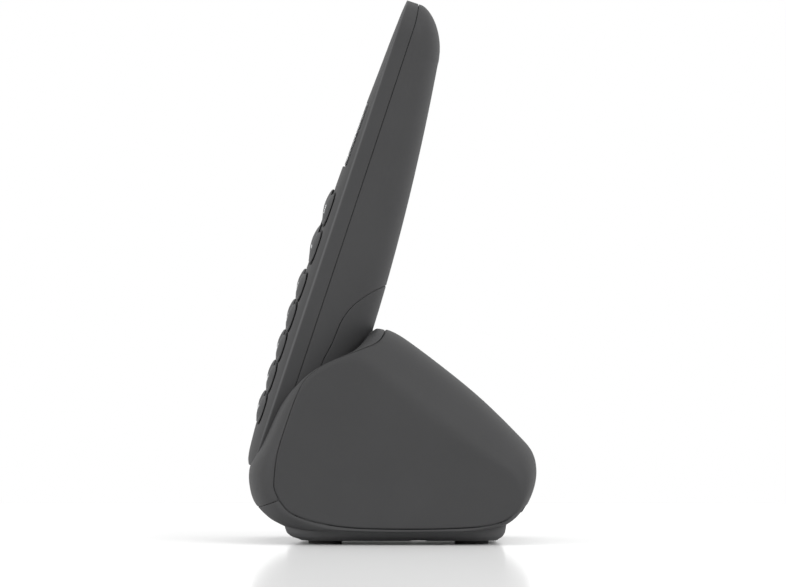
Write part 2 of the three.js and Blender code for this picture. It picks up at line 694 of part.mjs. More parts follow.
const cellDepth = bayDepth + baySheetThickness + gap + cellRadius;
const lowerContact = bayBottom + baySheetThickness + gap;
const cellBottom = lowerContact + contactSheetThickness + gap;
const cellTop = cellBottom + cellLength;
const cellShoulder = cellTop - cellCapHeight;
const cell = (side) => toSolid(turned([
  [cellRadius - cellBevel, cellBottom], [cellRadius, cellBottom + cellBevel],
  [cellRadius, cellShoulder - cellBevel], [cellRadius - cellBevel, cellShoulder],
  [cellCapRadius, cellShoulder], [cellCapRadius, cellTop],
], 18).translate((side * cellPitch) / 2, cellDepth, 0));
const contactSheet = (bottom) => block(
  [-cellPitch / 2 - contactSheetReach, cellDepth - contactSheetReach, bottom],
  [cellPitch / 2 + contactSheetReach, cellDepth + contactSheetReach, bottom + contactSheetThickness],
);
const screwHeadTop = screwHeadDepth + caseScrewHeadHeight;
const caseScrew = (side) => union(
  crossRod(caseScrewShaftRadius, screwHeadDepth - caseScrewLength, screwHeadTop, atCaseScrew(side), 12),
  crossRod(caseScrewHeadRadius, screwHeadDepth, screwHeadTop, atCaseScrew(side)),
);
const chargePad = (side) => block(
  [side * chargeOffset - padHalfWidth, chargeDepth - padHalfDepth, padRecess],
  [side * chargeOffset + padHalfWidth, chargeDepth + padHalfDepth, padBack],
);

piece(cradle, "keypad_mat", mat, "silicone");
piece(cradle, "handset_board", handsetBoard, "board");
piece(cradle, "earpiece_receiver", receiver, "socket");
piece(cradle, "microphone", microphone, "socket");
piece(cradle, "ringer_speaker", ringer, "socket");
piece(cradle, "handset_antenna", antennaStrip, "gold");
piece(cradle, "handset_radio_shield", radioShield, "metal");
piece(cradle, "battery_contact_lower", contactSheet(lowerContact), "metal");
piece(cradle, "battery_contact_upper", contactSheet(cellTop + gap), "metal");
for (const [side, suffix] of [[-1, "left"], [1, "right"]]) {
  piece(cradle, `battery_cell_${suffix}`, cell(side), "cell");
  piece(cradle, `case_screw_${suffix}`, caseScrew(side), "metal");
  piece(cradle, `charge_pad_${suffix}`, chargePad(side), "gold");
}

// ---------------------------------------------------------------- base form
function outlineRing(which, wall, perPoint) {
  const points = baseOutline.map((pair) => new THREE.Vector3(...pair[which], 0));
  const curve = new THREE.CatmullRomCurve3(points, true, "centripetal");
  const count = Math.round(baseOutline.length * perPoint);
  const ring = Array.from({ length: count }, (_, i) => curve.getPoint(i / count));
  return inset(ring.map((point) => [point.x, point.y]), wall);
}

// The pillow: the middle outline draws in to the side outline over the half width.
function pillow(wall, perPoint = 1, degrees = [90, 76, 54, 30, 0]) {
  const [middle, side] = [outlineRing(0, wall, perPoint), outlineRing(1, wall, perPoint)];
  const reach = baseHalfWidth - wall - baseFlatHalfWidth;
  const half = degrees.map(THREE.MathUtils.degToRad).map((angle) => {
    const swell = Math.max(Math.cos(angle), 1e-6) ** (2 / pillowRoundness);
    return {
      at: baseFlatHalfWidth + reach * Math.sin(angle) ** (2 / pillowRoundness),
      outline: side.map(([y, z], i) => {
        const [middleY, middleZ] = middle[i];
        return [y + (middleY - y) * swell, z + (middleZ - z) * swell];
      }),
    };
  });
  const left = half.map(({ at, outline }) => ({ at: -at, outline }));
  return toSolid(loft([...left, ...half.reverse()], alongX));
}

// The plinth under the pillow, drawing in towards the feet.
function plinth(wall, bottom, top) {
  const [front, rear] = [plinthFront + wall, plinthRear - wall];
  const level = (at, draw) => {
    const frontDraw = (draw * plinthFrontSlope) / plinthSlope;
    const [hx, y0, y1] = [plinthHalfWidth - wall - draw, front + frontDraw, rear - draw];
    const radius = Math.max(plinthCornerRadius - wall - draw, 1);
    const corners = [[hx, y1, 0], [-hx, y1, 90], [-hx, y0, 180], [hx, y0, 270]];
    return { at, outline: corners.flatMap(([x, y, turn]) => [0, 30, 60, 90].map((step) => {
      const angle = THREE.MathUtils.degToRad(turn + step);
      const [cx, cy] = [x - Math.sign(x) * radius, y - (y === y1 ? radius : -radius)];
      return [cx + radius * Math.cos(angle), cy + radius * Math.sin(angle)];
    })) };
  };
  const height = top - bottom;
  return toSolid(loft([
    level(bottom, plinthSlope), level(bottom + height * 0.2, plinthSlope * 0.5),
    level(bottom + height * 0.5, plinthSlope * 0.12), level(top, 0),
  ], alongZ));
}

const baseOuter = pillow(0, 1.5, [90, 84, 75, 63, 49, 32, 0]);
const baseInner = pillow(baseWall);
const baseMiddle = pillow(baseWall / 2); // ends bosses inside the wall
const baseShell = baseOuter.subtract(baseInner);

// ---------------------------------------------------------------- base mouldings
// What lies to the right of a seam line, closed over far corners.
const moulding = (line, ...corners) => acrossAll([...inset(line, -gap / 2, false), ...corners]);
const above = 2 * beyond;
const insertLine = [...insertSeam, ...lipSeam.slice(1)];
const housingLine = [...traySeam.toReversed(), ...insertSeam.toReversed().slice(1)];
const trayLine = [...lipSeam.toReversed(), ...traySeam.slice(1)];
const insertRegion = moulding(insertLine, [-beyond, above], [insertSeam[0][0], above]);
const housingRegion = moulding(housingLine, [beyond, above]);
const trayRegion = moulding(trayLine, [beyond, -beyond], [-beyond, -beyond]);

// Cradle insert: the front moulding with the pocket's walls under it.
const pocketSpace = inBase(pocketForm(pocketClearance));
const pocketBody = inBase(pocketForm(pocketClearance + pocketWall));
const pocketBerth = inBase(pocketForm(pocketClearance + pocketWall + gap));
const pageButtonPlace = [0, pageButtonHeight];
const atPin = (side) => [side * chargeOffset, chargeDepth];
const floorUnderside = -pocketFloorGap - pocketWall;
const pinHole = (side) =>
  inBase(rod(pinTipRadius + gap, floorUnderside - lap, padRecess + lap, atPin(side), 14));
const cradleInsert = without(
  union(baseShell.intersect(insertRegion), pocketBody.intersect(baseMiddle)),
  pocketSpace, ...mirrored.map(pinHole),
  crossRod(pageButtonRadius + gap, -beyond, pageButtonFace + pageButtonLength, pageButtonPlace, 24),
);

// Sockets at the rear, across the seam of housing and tray, no further out than the pillow.
const baseBoardTop = baseBoardHeight + baseBoardThickness;
const overBoard = baseBoardTop + gap;
const socketBlock = ({ x, width, depth, height }, grown = 0) => block(
  [x - width / 2 - grown, jackRear - depth - grown, overBoard - grown],
  [x + width / 2 + grown, jackRear + grown * beyond, overBoard + height + grown],
);
const socketMiddle = ({ height }) => overBoard + height / 2;
const powerSocket = without(
  socketBlock(powerJack).intersect(baseOuter),
  crossRod(powerJack.bore, jackRear - socketDepth, beyond, [powerJack.x, socketMiddle(powerJack)], 20),
).add(crossRod(
  powerJack.pin, jackRear - socketDepth - lap, jackRear - socketPinSetback,
  [powerJack.x, socketMiddle(powerJack)], 10,
));
const [mouthHalf, mouthRise] = [lineJack.mouth / 2, lineJack.mouthHeight / 2];
const lineSocket = socketBlock(lineJack).intersect(baseOuter).subtract(block(
  [lineJack.x - mouthHalf, jackRear - socketDepth, socketMiddle(lineJack) - mouthRise],
  [lineJack.x + mouthHalf, beyond, socketMiddle(lineJack) + mouthRise],
));
const socketOpenings = [powerJack, lineJack].map((jack) => socketBlock(jack, gap));

// Screws from the tray into posts of the housing.
const baseScrewSeat = plinthBottom + trayFloor;
const baseScrewEnd = baseScrewSeat + baseScrewLength;
const trayPostTop = baseScrewSeat + trayPostHeight;
const atBaseScrew = (side) => [side * baseScrewOffset, baseScrewY];
const screwBore = baseScrewShaftRadius + gap;
const postRadius = baseScrewHeadRadius + gap + baseBossWall;
const housingPost = (side) =>
  rod(screwBore + baseBossWall, trayPostTop + gap, beyond, atBaseScrew(side)).intersect(baseMiddle);
const housingBore = (side) => rod(screwBore, 0, baseScrewEnd + lap, atBaseScrew(side));
const trayPost = (side) => rod(postRadius, plinthBottom, trayPostTop, atBaseScrew(side));
const trayBore = (side) => rod(screwBore, 0, trayPostTop + lap, atBaseScrew(side));
const counterbore = (side) => rod(baseScrewHeadRadius + gap, 0, baseScrewSeat + gap, atBaseScrew(side));
const baseScrew = (side) => union(
  rod(baseScrewHeadRadius, baseScrewSeat - baseScrewHeadHeight, baseScrewSeat, atBaseScrew(side), 18),
  rod(baseScrewShaftRadius, baseScrewSeat - lap, baseScrewEnd, atBaseScrew(side), 12),
);

// The opening in the housing's underside, over the plinth.
const throat = block(
  [baseWall - baseHalfWidth, plinthFront + baseWall, 0],
  [baseHalfWidth - baseWall, plinthRear - baseWall, baseUnderside + baseWall + throatSpare],
);
const housing = without(
  union(baseShell.intersect(housingRegion).subtract(throat), ...mirrored.map(housingPost)),
  pocketBerth, ...mirrored.map(housingBore), ...socketOpenings,
);

// Tray: its rim under the housing, the plinth and what stands on its floor.
const trayBody = plinth(0, plinthBottom, plinthTop);
const trayHollow = plinth(baseWall, plinthBottom + trayFloor, plinthTop + 2 * baseWall);
const footPlaces = mirrored.flatMap((side) => [plinthFront + frontFootInset, plinthRear - footInset]
  .map((y) => [side * (plinthHalfWidth - footInset), y]));
const footRecess = (place) => rod(footRadius + gap, 0, footHeight + gap, place);
const standoffPlaces = mirrored.flatMap((side) =>
  [baseBoardFront + standoffInset, baseBoardRear - standoffInset]
    .map((y) => [side * (baseBoardHalfWidth - standoffInset), y]));
const standoff = (place) => rod(standoffRadius, plinthBottom + lap, baseBoardHeight - gap, place, 14);
const tray = without(
  union(
    union(baseShell.intersect(trayRegion), trayBody).subtract(trayHollow),
    ...standoffPlaces.map(standoff), ...mirrored.map(trayPost),
  ),
  ...footPlaces.map(footRecess), ...mirrored.map(counterbore), ...mirrored.map(trayBore),
  ...socketOpenings,
);

piece(assembly, "base_housing", housing, "housing");
piece(assembly, "cradle_insert", cradleInsert, "insert");
piece(assembly, "bottom_tray", tray, "tray");

footPlaces.forEach((place, i) => {
  const name = `foot_${i % 2 ? "rear" : "front"}_${i < 2 ? "left" : "right"}`;
  piece(assembly, name, rod(footRadius, 0, footHeight, place), "rubber");
});

// ---------------------------------------------------------------- base internals
const baseBoard = block(
  [-baseBoardHalfWidth, baseBoardFront, baseBoardHeight], [baseBoardHalfWidth, baseBoardRear, baseBoardTop],
);
const pageButtonEnd = pageButtonFace + pageButtonLength;
// Its face lies flush in the pillow's front.
const pageButton = union(
  crossRod(pageButtonRadius, -beyond, pageButtonFace + pageButtonCap, pageButtonPlace, 24)
    .intersect(baseOuter),
  crossRod(pageButtonStemRadius, pageButtonFace + 2 * lap, pageButtonEnd, pageButtonPlace, 12),
);
const switchFront = pageButtonEnd + pageButtonTravel + gap;
const switchBody = block(
  [-pageSwitch.width / 2, switchFront, overBoard],
  [pageSwitch.width / 2, switchFront + pageSwitch.depth, pageSwitch.top],
);
const antennaPlate = block(
  [baseAntenna.x - baseAntenna.thickness / 2, baseAntenna.front, overBoard],
  [baseAntenna.x + baseAntenna.thickness / 2, baseAntenna.rear, overBoard + baseAntenna.height],
);
const radioCan = block(
  [shieldCan.x - shieldCan.width / 2, shieldCan.y - shieldCan.depth / 2, overBoard],
  [shieldCan.x + shieldCan.width / 2, shieldCan.y + shieldCan.depth / 2, overBoard + shieldCan.height],
);

// Charging pins, each in a holder under the pocket's floor.
const pinTip = padRecess - gap;
const holderTop = floorUnderside - gap;
const shoulderTop = holderTop - holderWall - gap;
const holderBottom = shoulderTop - pinShoulderHeight - pinTravel - gap;
const holderHalf = pinShoulderRadius + gap + holderWall;
const pinHolder = (side) => without(
  block(
    [side * chargeOffset - holderHalf, chargeDepth - holderHalf, holderBottom],
    [side * chargeOffset + holderHalf, chargeDepth + holderHalf, holderTop],
  ),
  rod(pinTipRadius + gap, holderBottom - lap, holderTop + lap, atPin(side), 12),
  rod(pinShoulderRadius + gap, holderBottom - lap, shoulderTop + gap, atPin(side), 14),
);
const chargePin = (side) => toSolid(turned([
  [pinShoulderRadius, shoulderTop - pinShoulderHeight], [pinShoulderRadius, shoulderTop],
  [pinTipRadius, shoulderTop], [pinTipRadius, pinTip - pinTipBevel], [pinTipRadius - pinTipBevel, pinTip],
], 14).translate(side * chargeOffset, chargeDepth, 0));

piece(assembly, "base_board", baseBoard, "board");
piece(assembly, "page_button", pageButton, "key");
piece(assembly, "page_switch", switchBody, "socket");
piece(assembly, "power_socket", powerSocket, "socket");
piece(assembly, "line_socket", lineSocket, "socket");
piece(assembly, "base_antenna", antennaPlate, "gold");
piece(assembly, "base_radio_shield", radioCan, "metal");
for (const [side, suffix] of [[-1, "left"], [1, "right"]]) {
  piece(cradle, `charge_pin_${suffix}`, chargePin(side), "gold");
  piece(cradle, `charge_pin_holder_${suffix}`, pinHolder(side), "socket");
  piece(assembly, `base_screw_${suffix}`, baseScrew(side), "metal");
}

export default assembly;
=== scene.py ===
"""Cordless phone with base: the looks of every surface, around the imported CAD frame.

Metres, +Z up, the face of the handset towards -Y. The casings, keys, window, feet, page
button and the base's screws are modelled again here, from the same measures as the CAD
solids and fine enough for smooth highlights, and stand for their CAD nodes. All other CAD
nodes stay, with materials of their own.
"""
import json
import math

import bmesh
import bpy
import numpy as np
from mathutils import Matrix, Vector
from mathutils.bvhtree import BVHTree


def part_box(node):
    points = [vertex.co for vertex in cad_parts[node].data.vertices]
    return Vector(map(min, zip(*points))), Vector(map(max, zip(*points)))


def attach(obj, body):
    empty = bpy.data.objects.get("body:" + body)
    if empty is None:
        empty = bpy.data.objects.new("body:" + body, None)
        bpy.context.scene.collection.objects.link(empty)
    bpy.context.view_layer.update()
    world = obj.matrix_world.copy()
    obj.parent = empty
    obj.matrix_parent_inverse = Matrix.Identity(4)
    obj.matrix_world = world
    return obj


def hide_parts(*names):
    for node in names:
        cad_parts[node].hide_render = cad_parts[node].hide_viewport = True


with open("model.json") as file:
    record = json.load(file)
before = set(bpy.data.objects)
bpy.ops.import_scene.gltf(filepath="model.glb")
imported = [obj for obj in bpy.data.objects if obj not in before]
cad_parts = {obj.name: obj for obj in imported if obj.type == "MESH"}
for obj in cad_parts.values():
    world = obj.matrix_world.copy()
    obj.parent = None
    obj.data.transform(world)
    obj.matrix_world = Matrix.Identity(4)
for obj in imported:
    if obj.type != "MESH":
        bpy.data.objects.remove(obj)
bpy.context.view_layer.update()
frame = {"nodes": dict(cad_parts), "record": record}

MM = 0.001
nodes = frame["nodes"]
GAP = 0.3  # clearance between neighbouring pieces, mm
SEAM = 0.08  # half of the line between two mouldings


# -------- materials
def new_material(name, base, roughness, metallic=0):
    """A material with its Principled shader."""
    material = bpy.data.materials.new(name)
    material.use_nodes = True
    shader = material.node_tree.nodes["Principled BSDF"]
    shader.inputs["Base Color"].default_value = (*base, 1)
    shader.inputs["Roughness"].default_value = roughness
    shader.inputs["Metallic"].default_value = metallic
    return material, shader


def link(material, source, target):
    material.node_tree.links.new(source, target)


def add(material, kind, **settings):
    """Adds a node: settings name its properties, or its inputs by their labels."""
    node = material.node_tree.nodes.new("ShaderNode" + kind)
    for key, value in settings.items():
        label = key.replace("_", " ").title()
        if label in node.inputs:
            node.inputs[label].default_value = value
        else:
            setattr(node, key, value)
    return node


def texture(material, kind, stretch=(1, 1, 1), **settings):
    """A texture over the object's own coordinates."""
    place = add(material, "TexCoord")
    pull = add(material, "Mapping", scale=stretch)
    node = add(material, kind, **settings)
    link(material, place.outputs["Object"], pull.inputs["Vector"])
    link(material, pull.outputs["Vector"], node.inputs["Vector"])
    return node.outputs["Distance" if kind == "TexVoronoi" else "Fac"]


def tinted(material, source, colours, target):
    """Runs a colour between two by a texture's value."""
    ramp = add(material, "ValToRGB")
    for element, colour in zip(ramp.color_ramp.elements, colours):
        element.color = (*colour, 1)
    link(material, source, ramp.inputs["Fac"])
    link(material, ramp.outputs["Color"], target)


def polished(material, shader, source, least, most):
    """Runs the roughness between two values by a texture's value."""
    polish = add(material, "MapRange", to_min=least, to_max=most)
    link(material, source, polish.inputs["Value"])
    link(material, polish.outputs["Result"], shader.inputs["Roughness"])


def embossed(material, shader, source, strength, distance):
    """Raises a texture's value as a fine relief, distance in metres."""
    bump = add(material, "Bump", strength=strength, distance=distance)
    link(material, source, bump.inputs["Height"])
    link(material, bump.outputs["Normal"], shader.inputs["Normal"])


def grey(level):
    """A linear grey from an sRGB level of 0 to 255."""
    share = level / 255
    linear = share / 12.92 if share <= 0.04045 else ((share + 0.055) / 1.055) ** 2.4
    return (linear, linear, linear * 1.02)


PAINTED_HIGHLIGHT, PAINTED_HIGHLIGHT_GAIN = "painted_highlight", 1.35  # the attribute that marks where a highlight is painted, and how much lighter it paints
MOTTLING = (0.965, 1.035)


def moulded(name, level, roughness=0.52, grain=1):
    """Spark-eroded plastic: a fine grain in the bump, slight mottling, and a lighter painted highlight where
    the attribute marks it.
    """
    material, shader = new_material(name, grey(level), roughness)
    shader.inputs["Specular IOR Level"].default_value = 0.06
    grains = texture(material, "TexNoise", scale=3600, detail=3, roughness=0.62)
    pits = texture(material, "TexVoronoi", scale=2300)
    mottle = texture(material, "TexNoise", scale=60, detail=4, roughness=0.55)
    # a painted highlight: a lighter grey mixed in where the attribute marks the piece
    painted_highlight = add(material, "Attribute", attribute_name=PAINTED_HIGHLIGHT)
    highlight_mix = add(material, "MixRGB", color2=(*grey(level * PAINTED_HIGHLIGHT_GAIN), 1))
    link(material, painted_highlight.outputs["Fac"], highlight_mix.inputs["Fac"])
    tinted(material, mottle, [grey(level * share) for share in MOTTLING], highlight_mix.inputs["Color1"])
    link(material, highlight_mix.outputs["Color"], shader.inputs["Base Color"])
    polished(material, shader, grains, roughness - 0.05, roughness + 0.06)
    height = add(material, "Math", operation="ADD")
    link(material, grains, height.inputs[0])
    link(material, pits, height.inputs[1])
    embossed(material, shader, height.outputs["Value"], 0.18 * grain, 0.00004)
    return material


def speckled(name, colours, roughness, scale, bump=0, metallic=0, stretch=(1, 1, 1)):
    """A finish that varies between two colours by noise, with a matching relief."""
    material, shader = new_material(name, colours[0], roughness[0], metallic)
    noise = texture(material, "TexNoise", stretch, scale=scale, detail=4, roughness=0.6)
    tinted(material, noise, colours, shader.inputs["Base Color"])
    polished(material, shader, noise, *roughness)
    embossed(material, shader, noise, bump, 0.00005)
    return material


def clear_plastic():
    material = speckled("clear_lens", [(0.93, 0.95, 0.96), (0.97, 0.98, 0.99)], (0.015, 0.04), 90)
    shader = material.node_tree.nodes["Principled BSDF"]
    shader.inputs["Transmission Weight"].default_value = 1
    shader.inputs["IOR"].default_value = 1.49
    return material


def liquid_crystal():
    """A reflective display that is off: grey-green, with its faint grid of dots."""
    material, shader = new_material("display", (0.29, 0.34, 0.28), 0.22)
    dots = texture(material, "TexVoronoi", scale=2600, randomness=0, distance="CHEBYCHEV")
    haze = texture(material, "TexNoise", scale=80, detail=2)
    tinted(material, dots, [(0.30, 0.35, 0.29), (0.24, 0.29, 0.24)], shader.inputs["Base Color"])
    polished(material, shader, haze, 0.18, 0.28)
    return material


def floor_material():
    """Near-white board with a faint sheen that mirrors what stands on it."""
    material = bpy.data.materials.new("floor")
    material.use_nodes = True
    material.node_tree.nodes.clear()
    output = add(material, "OutputMaterial")
    mix = add(material, "MixShader", fac=0.6)
    matte = add(material, "BsdfDiffuse", color=(0.93, 0.93, 0.93, 1))
    gloss = add(material, "BsdfGlossy", roughness=0.1)
    link(material, matte.outputs["BSDF"], mix.inputs[1])
    link(material, gloss.outputs["BSDF"], mix.inputs[2])
    link(material, mix.outputs["Shader"], output.inputs["Surface"])
    return material


PLASTICS = {  # grey level, roughness and grain
    "housing_plastic": (54,), "handset_plastic": (55,), "insert_plastic": (57,),
    # the plinth's copy of the tray plastic is painted lighter, against the shade under the base's overhang
    "tray_plastic": (60, 0.6), "tray_plastic_painted_lighter": (76, 0.6), "key_plastic": (64, 0.45, 0.5),
}
BRUSHED = (1, 0.2, 1)
SPECKLED = {  # two colours, least and most roughness, scale, bump, metallic and stretch
    "legend_ink": ([(0.56, 0.57, 0.58), (0.66, 0.67, 0.68)], (0.45, 0.6), 4000, 0.1),
    "print_black": ([(0.008, 0.008, 0.009), (0.014, 0.014, 0.015)], (0.3, 0.4), 3000),
    "silicone": ([(0.045, 0.045, 0.05), (0.06, 0.06, 0.065)], (0.6, 0.75), 1500, 0.2),
    "circuit_board": (
        [(0.008, 0.07, 0.03), (0.02, 0.13, 0.06)], (0.3, 0.45), 700, 0.15, 0, (1, 0.15, 0.4),
    ),
    "black_plastic": ([(0.012, 0.012, 0.013), (0.022, 0.022, 0.024)], (0.42, 0.55), 2500, 0.15),
    "contact_brass": ([(0.74, 0.55, 0.26), (0.86, 0.68, 0.36)], (0.22, 0.34), 1800, 0.08, 1, BRUSHED),
    "steel": ([(0.52, 0.53, 0.54), (0.66, 0.67, 0.68)], (0.26, 0.4), 1800, 0.1, 1, BRUSHED),
    "cell_sleeve": ([(0.24, 0.27, 0.30), (0.29, 0.32, 0.35)], (0.3, 0.4), 600, 0.05),
    "foot_rubber": ([(0.012, 0.012, 0.012), (0.02, 0.02, 0.02)], (0.75, 0.9), 2600, 0.3),
}
finishes = {name: moulded(name, *look) for name, look in PLASTICS.items()}
finishes |= {name: speckled(name, *look) for name, look in SPECKLED.items()}
finishes |= {"clear_lens": clear_plastic(), "display": liquid_crystal()}


# -------- curves, in mm
def follow(line, at, round_off=2.5):
    """A line through (station, value) points with its corners rounded off."""
    stations, values = np.array(line, float).T
    offsets = np.linspace(-1, 1, 9)
    weights = 1 - np.abs(offsets) * 0.9
    spread = np.minimum(round_off, np.minimum(at - stations[0], stations[-1] - at).clip(0))
    total = sum(w * np.interp(at + o * spread, stations, values) for o, w in zip(offsets, weights))
    return total / weights.sum()


def closed_spline(points, per_span):
    """The centripetal Catmull-Rom curve through a closed list of points."""
    points = np.array(points, float)
    p0, p1, p2, p3 = (np.roll(points, shift, axis=0) for shift in (1, 0, -1, -2))
    d0, d1, d2 = (np.linalg.norm(b - a, axis=1)[:, None] ** 0.5 for a, b in ((p0, p1), (p1, p2), (p2, p3)))
    start = ((p1 - p0) / d0 - (p2 - p0) / (d0 + d1) + (p2 - p1) / d1) * d1
    end = ((p2 - p1) / d1 - (p3 - p1) / (d1 + d2) + (p3 - p2) / d2) * d1
    curve = []
    for i, count in enumerate(per_span):
        t = (np.arange(count) / count)[:, None]
        a, b = 2 * t**3 - 3 * t**2 + 1, t**3 - 2 * t**2 + t
        c, d = -2 * t**3 + 3 * t**2, t**3 - t**2
        curve.append(a * p1[i] + b * start[i] + c * p2[i] + d * end[i])
    return np.vstack(curve)


def relaxed(curve, passes):
    """A closed curve with its small waves smoothed out."""
    for _ in range(passes):
        curve = 0.5 * curve + 0.25 * (np.roll(curve, 1, axis=0) + np.roll(curve, -1, axis=0))
    return curve


def inside(points, polygon):
    """Signed distance of points to a polygon's edge in the view from the side, positive inside."""
    points = points[:, 1:]
    ends = np.array(polygon, float)
    best = np.full(len(points), np.inf)
    crossed = np.zeros(len(points), bool)
    for a, b in zip(ends, np.roll(ends, -1, axis=0)):
        edge = b - a
        share = (((points - a) @ edge) / (edge @ edge)).clip(0, 1)
        best = np.minimum(best, np.linalg.norm(points - a - share[:, None] * edge, axis=1))
        spans = (a[1] > points[:, 1]) != (b[1] > points[:, 1])
        if a[1] != b[1]:
            at = a[0] + (points[:, 1] - a[1]) / (b[1] - a[1]) * edge[0]
            crossed ^= spans & (points[:, 0] < at)
    return np.where(crossed, best, -best)


def squircle(offsets, exponent):
    """How far out points lie in a superellipse of half sizes 1: 0 at its middle, 1 on its edge."""
    return (np.abs(offsets) ** exponent).sum(axis=1) ** (1 / exponent)


def superellipse(turn, exponent):
    """Points (x, y) of a superellipse of half sizes 1, by angle."""
    return tuple(np.sign(way) * np.abs(way) ** (2 / exponent) for way in (np.cos(turn), np.sin(turn)))


def rounded_rectangle(low, high, corner, steps=9, between=0):
    """An outline with round corners, counter-clockwise from its right side."""
    arcs = []
    for right, upper, start in ((1, 1, 0), (0, 1, 90), (0, 0, 180), (1, 0, 270)):
        middle = np.where((right, upper), np.array(high) - corner, np.array(low) + corner)
        turn = np.radians(np.linspace(start, start + 90, steps))
        arcs.append(middle + corner * np.column_stack([np.cos(turn), np.sin(turn)]))
    outline = []
    for arc, after in zip(arcs, arcs[1:] + arcs[:1]):
        outline += [arc, np.linspace(arc[-1], after[0], between + 2)[1:-1]]
    return np.vstack(outline)


def placed_by(matrix, points):
    """Points moved by a placing matrix."""
    return points @ np.array(matrix.to_3x3()).T + np.array(matrix.translation)


# -------- meshes
def make_object(name, vertices, faces, material, placed=None):
    """A smooth-shaded mesh piece from points in mm, in the shared frame or in a placed one."""
    mesh = bpy.data.meshes.new(name)
    points = np.array(vertices, float)
    if placed is not None:
        points = placed_by(placed, points)
    mesh.from_pydata((points * MM).tolist(), [], faces)
    mesh.materials.append(material)
    mesh.shade_smooth()
    piece = bpy.data.objects.new(name, mesh)
    bpy.context.scene.collection.objects.link(piece)
    return piece


def grid_faces(rows, columns, closed):
    """Quads over a grid of points, given row by row; closed joins its last column to the first."""
    faces = []
    for r in range(rows - 1):
        for c in range(columns if closed else columns - 1):
            d = (c + 1) % columns
            faces.append((r * columns + c, r * columns + d, (r + 1) * columns + d, (r + 1) * columns + c))
    return faces


def body_of(rings):
    """The points of closed rings, the quads over them, and then a face over each end."""
    count, last = len(rings[0]), (len(rings) - 1) * len(rings[0])
    ends = [tuple(reversed(range(count))), tuple(range(last, last + count))]
    return np.vstack(rings), grid_faces(len(rings), count, True) + ends


def turned_round(points, faces):
    """The same surface, facing the other way."""
    return points, [face[::-1] for face in faces]


def make_piece(name, points, faces, node, slot, body, placed=None, look=None):
    """A piece that rides a body and may stand for a CAD node, in its slot's finish or another look."""
    piece = make_object(name, points, faces, finishes[look or slot], placed)
    if node:
        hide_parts(node)
    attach(piece, body)
    return piece


def split_at(mesh, layer, outward, level):
    """Cuts every face along the line where the vertices' values cross a level."""
    for edge in list(mesh.edges):
        a, b = edge.verts
        fa, fb = a[layer] - level, b[layer] - level
        if fa * fb < 0 and min(abs(fa), abs(fb)) > 1e-4:
            share = fa / (fa - fb)
            normal = a[outward].lerp(b[outward], share).normalized()
            _, fresh = bmesh.utils.edge_split(edge, a, share)
            fresh[layer] = level
            fresh[outward] = normal
    for face in list(mesh.faces):
        on_line = [v for v in face.verts if abs(v[layer] - level) <= 1e-4]
        if len(on_line) == 2 and len(face.verts) > 3:
            a, b = on_line
            if not any(b in edge.verts for edge in a.link_edges if edge in face.edges):
                bmesh.utils.face_split(face, a, b)


def unmoved(points, normals):
    return 0 * points


EDGE_RINGS = (0, 0.12, 0.45, 1)


def cut_shell(vertices, faces, field, lip, wall, keep=SEAM, shift=unmoved, rings=EDGE_RINGS):
    """A closed shell from the part of a surface where a field of distances is over keep.

    Its edge is rolled in by lip, and its wall is inside the surface, which shift moves first.
    The rings are cut into it along its edge, in shares of lip.
    """
    mesh = bmesh.new()
    for point in vertices:
        mesh.verts.new(point)
    mesh.verts.ensure_lookup_table()
    for face in faces:
        mesh.faces.new([mesh.verts[i] for i in face])
    mesh.normal_update()
    layer = mesh.verts.layers.float.new("distance")
    outward = mesh.verts.layers.float_vector.new("outward")
    for vert, value in zip(mesh.verts, field(np.array(vertices, float))):
        vert[layer] = value
        vert[outward] = vert.normal
    for share in rings:
        split_at(mesh, layer, outward, keep + share * lip)
    bmesh.ops.delete(mesh, geom=[v for v in mesh.verts if v[layer] < keep - 1e-3], context="VERTS")
    bmesh.ops.remove_doubles(mesh, verts=mesh.verts, dist=0.012)
    mesh.verts.index_update()
    outer, inner = [], []
    places = np.array([vert.co for vert in mesh.verts])
    moves = shift(places, np.array([vert[outward] for vert in mesh.verts]))
    for vert, move in zip(mesh.verts, moves):
        rolled = max(lip - (vert[layer] - keep), 0)
        depth = lip - math.sqrt(max(lip**2 - rolled**2, 0))
        outer.append(vert.co + Vector(move) - vert[outward] * depth)
        inner.append(vert.co + Vector(move) - vert[outward] * wall)
    count = len(outer)
    shell = [[v.index for v in face.verts] for face in mesh.faces]
    shell += [[v.index + count for v in reversed(face.verts)] for face in mesh.faces]
    for edge in mesh.edges:
        if len(edge.link_loops) == 1:
            a = edge.link_loops[0].vert
            b = edge.other_vert(a)
            shell.append([b.index, a.index, a.index + count, b.index + count])
    mesh.free()
    return outer + inner, shell


TONGUE_WALL, TONGUE_REACH, TONGUE_LIP, TONGUE_DEPTH = 0.9, 0.3, 0.05, 0.6


def seam_tongue(vertices, faces, distance):
    """The tongue that closes the seams from inside, sunk into the wall."""
    def near_seam(points):
        return TONGUE_REACH - distance(points)

    def sunk(points, normals):
        return -TONGUE_DEPTH * normals

    return cut_shell(vertices, faces, near_seam, TONGUE_LIP, TONGUE_WALL, 0, sunk)


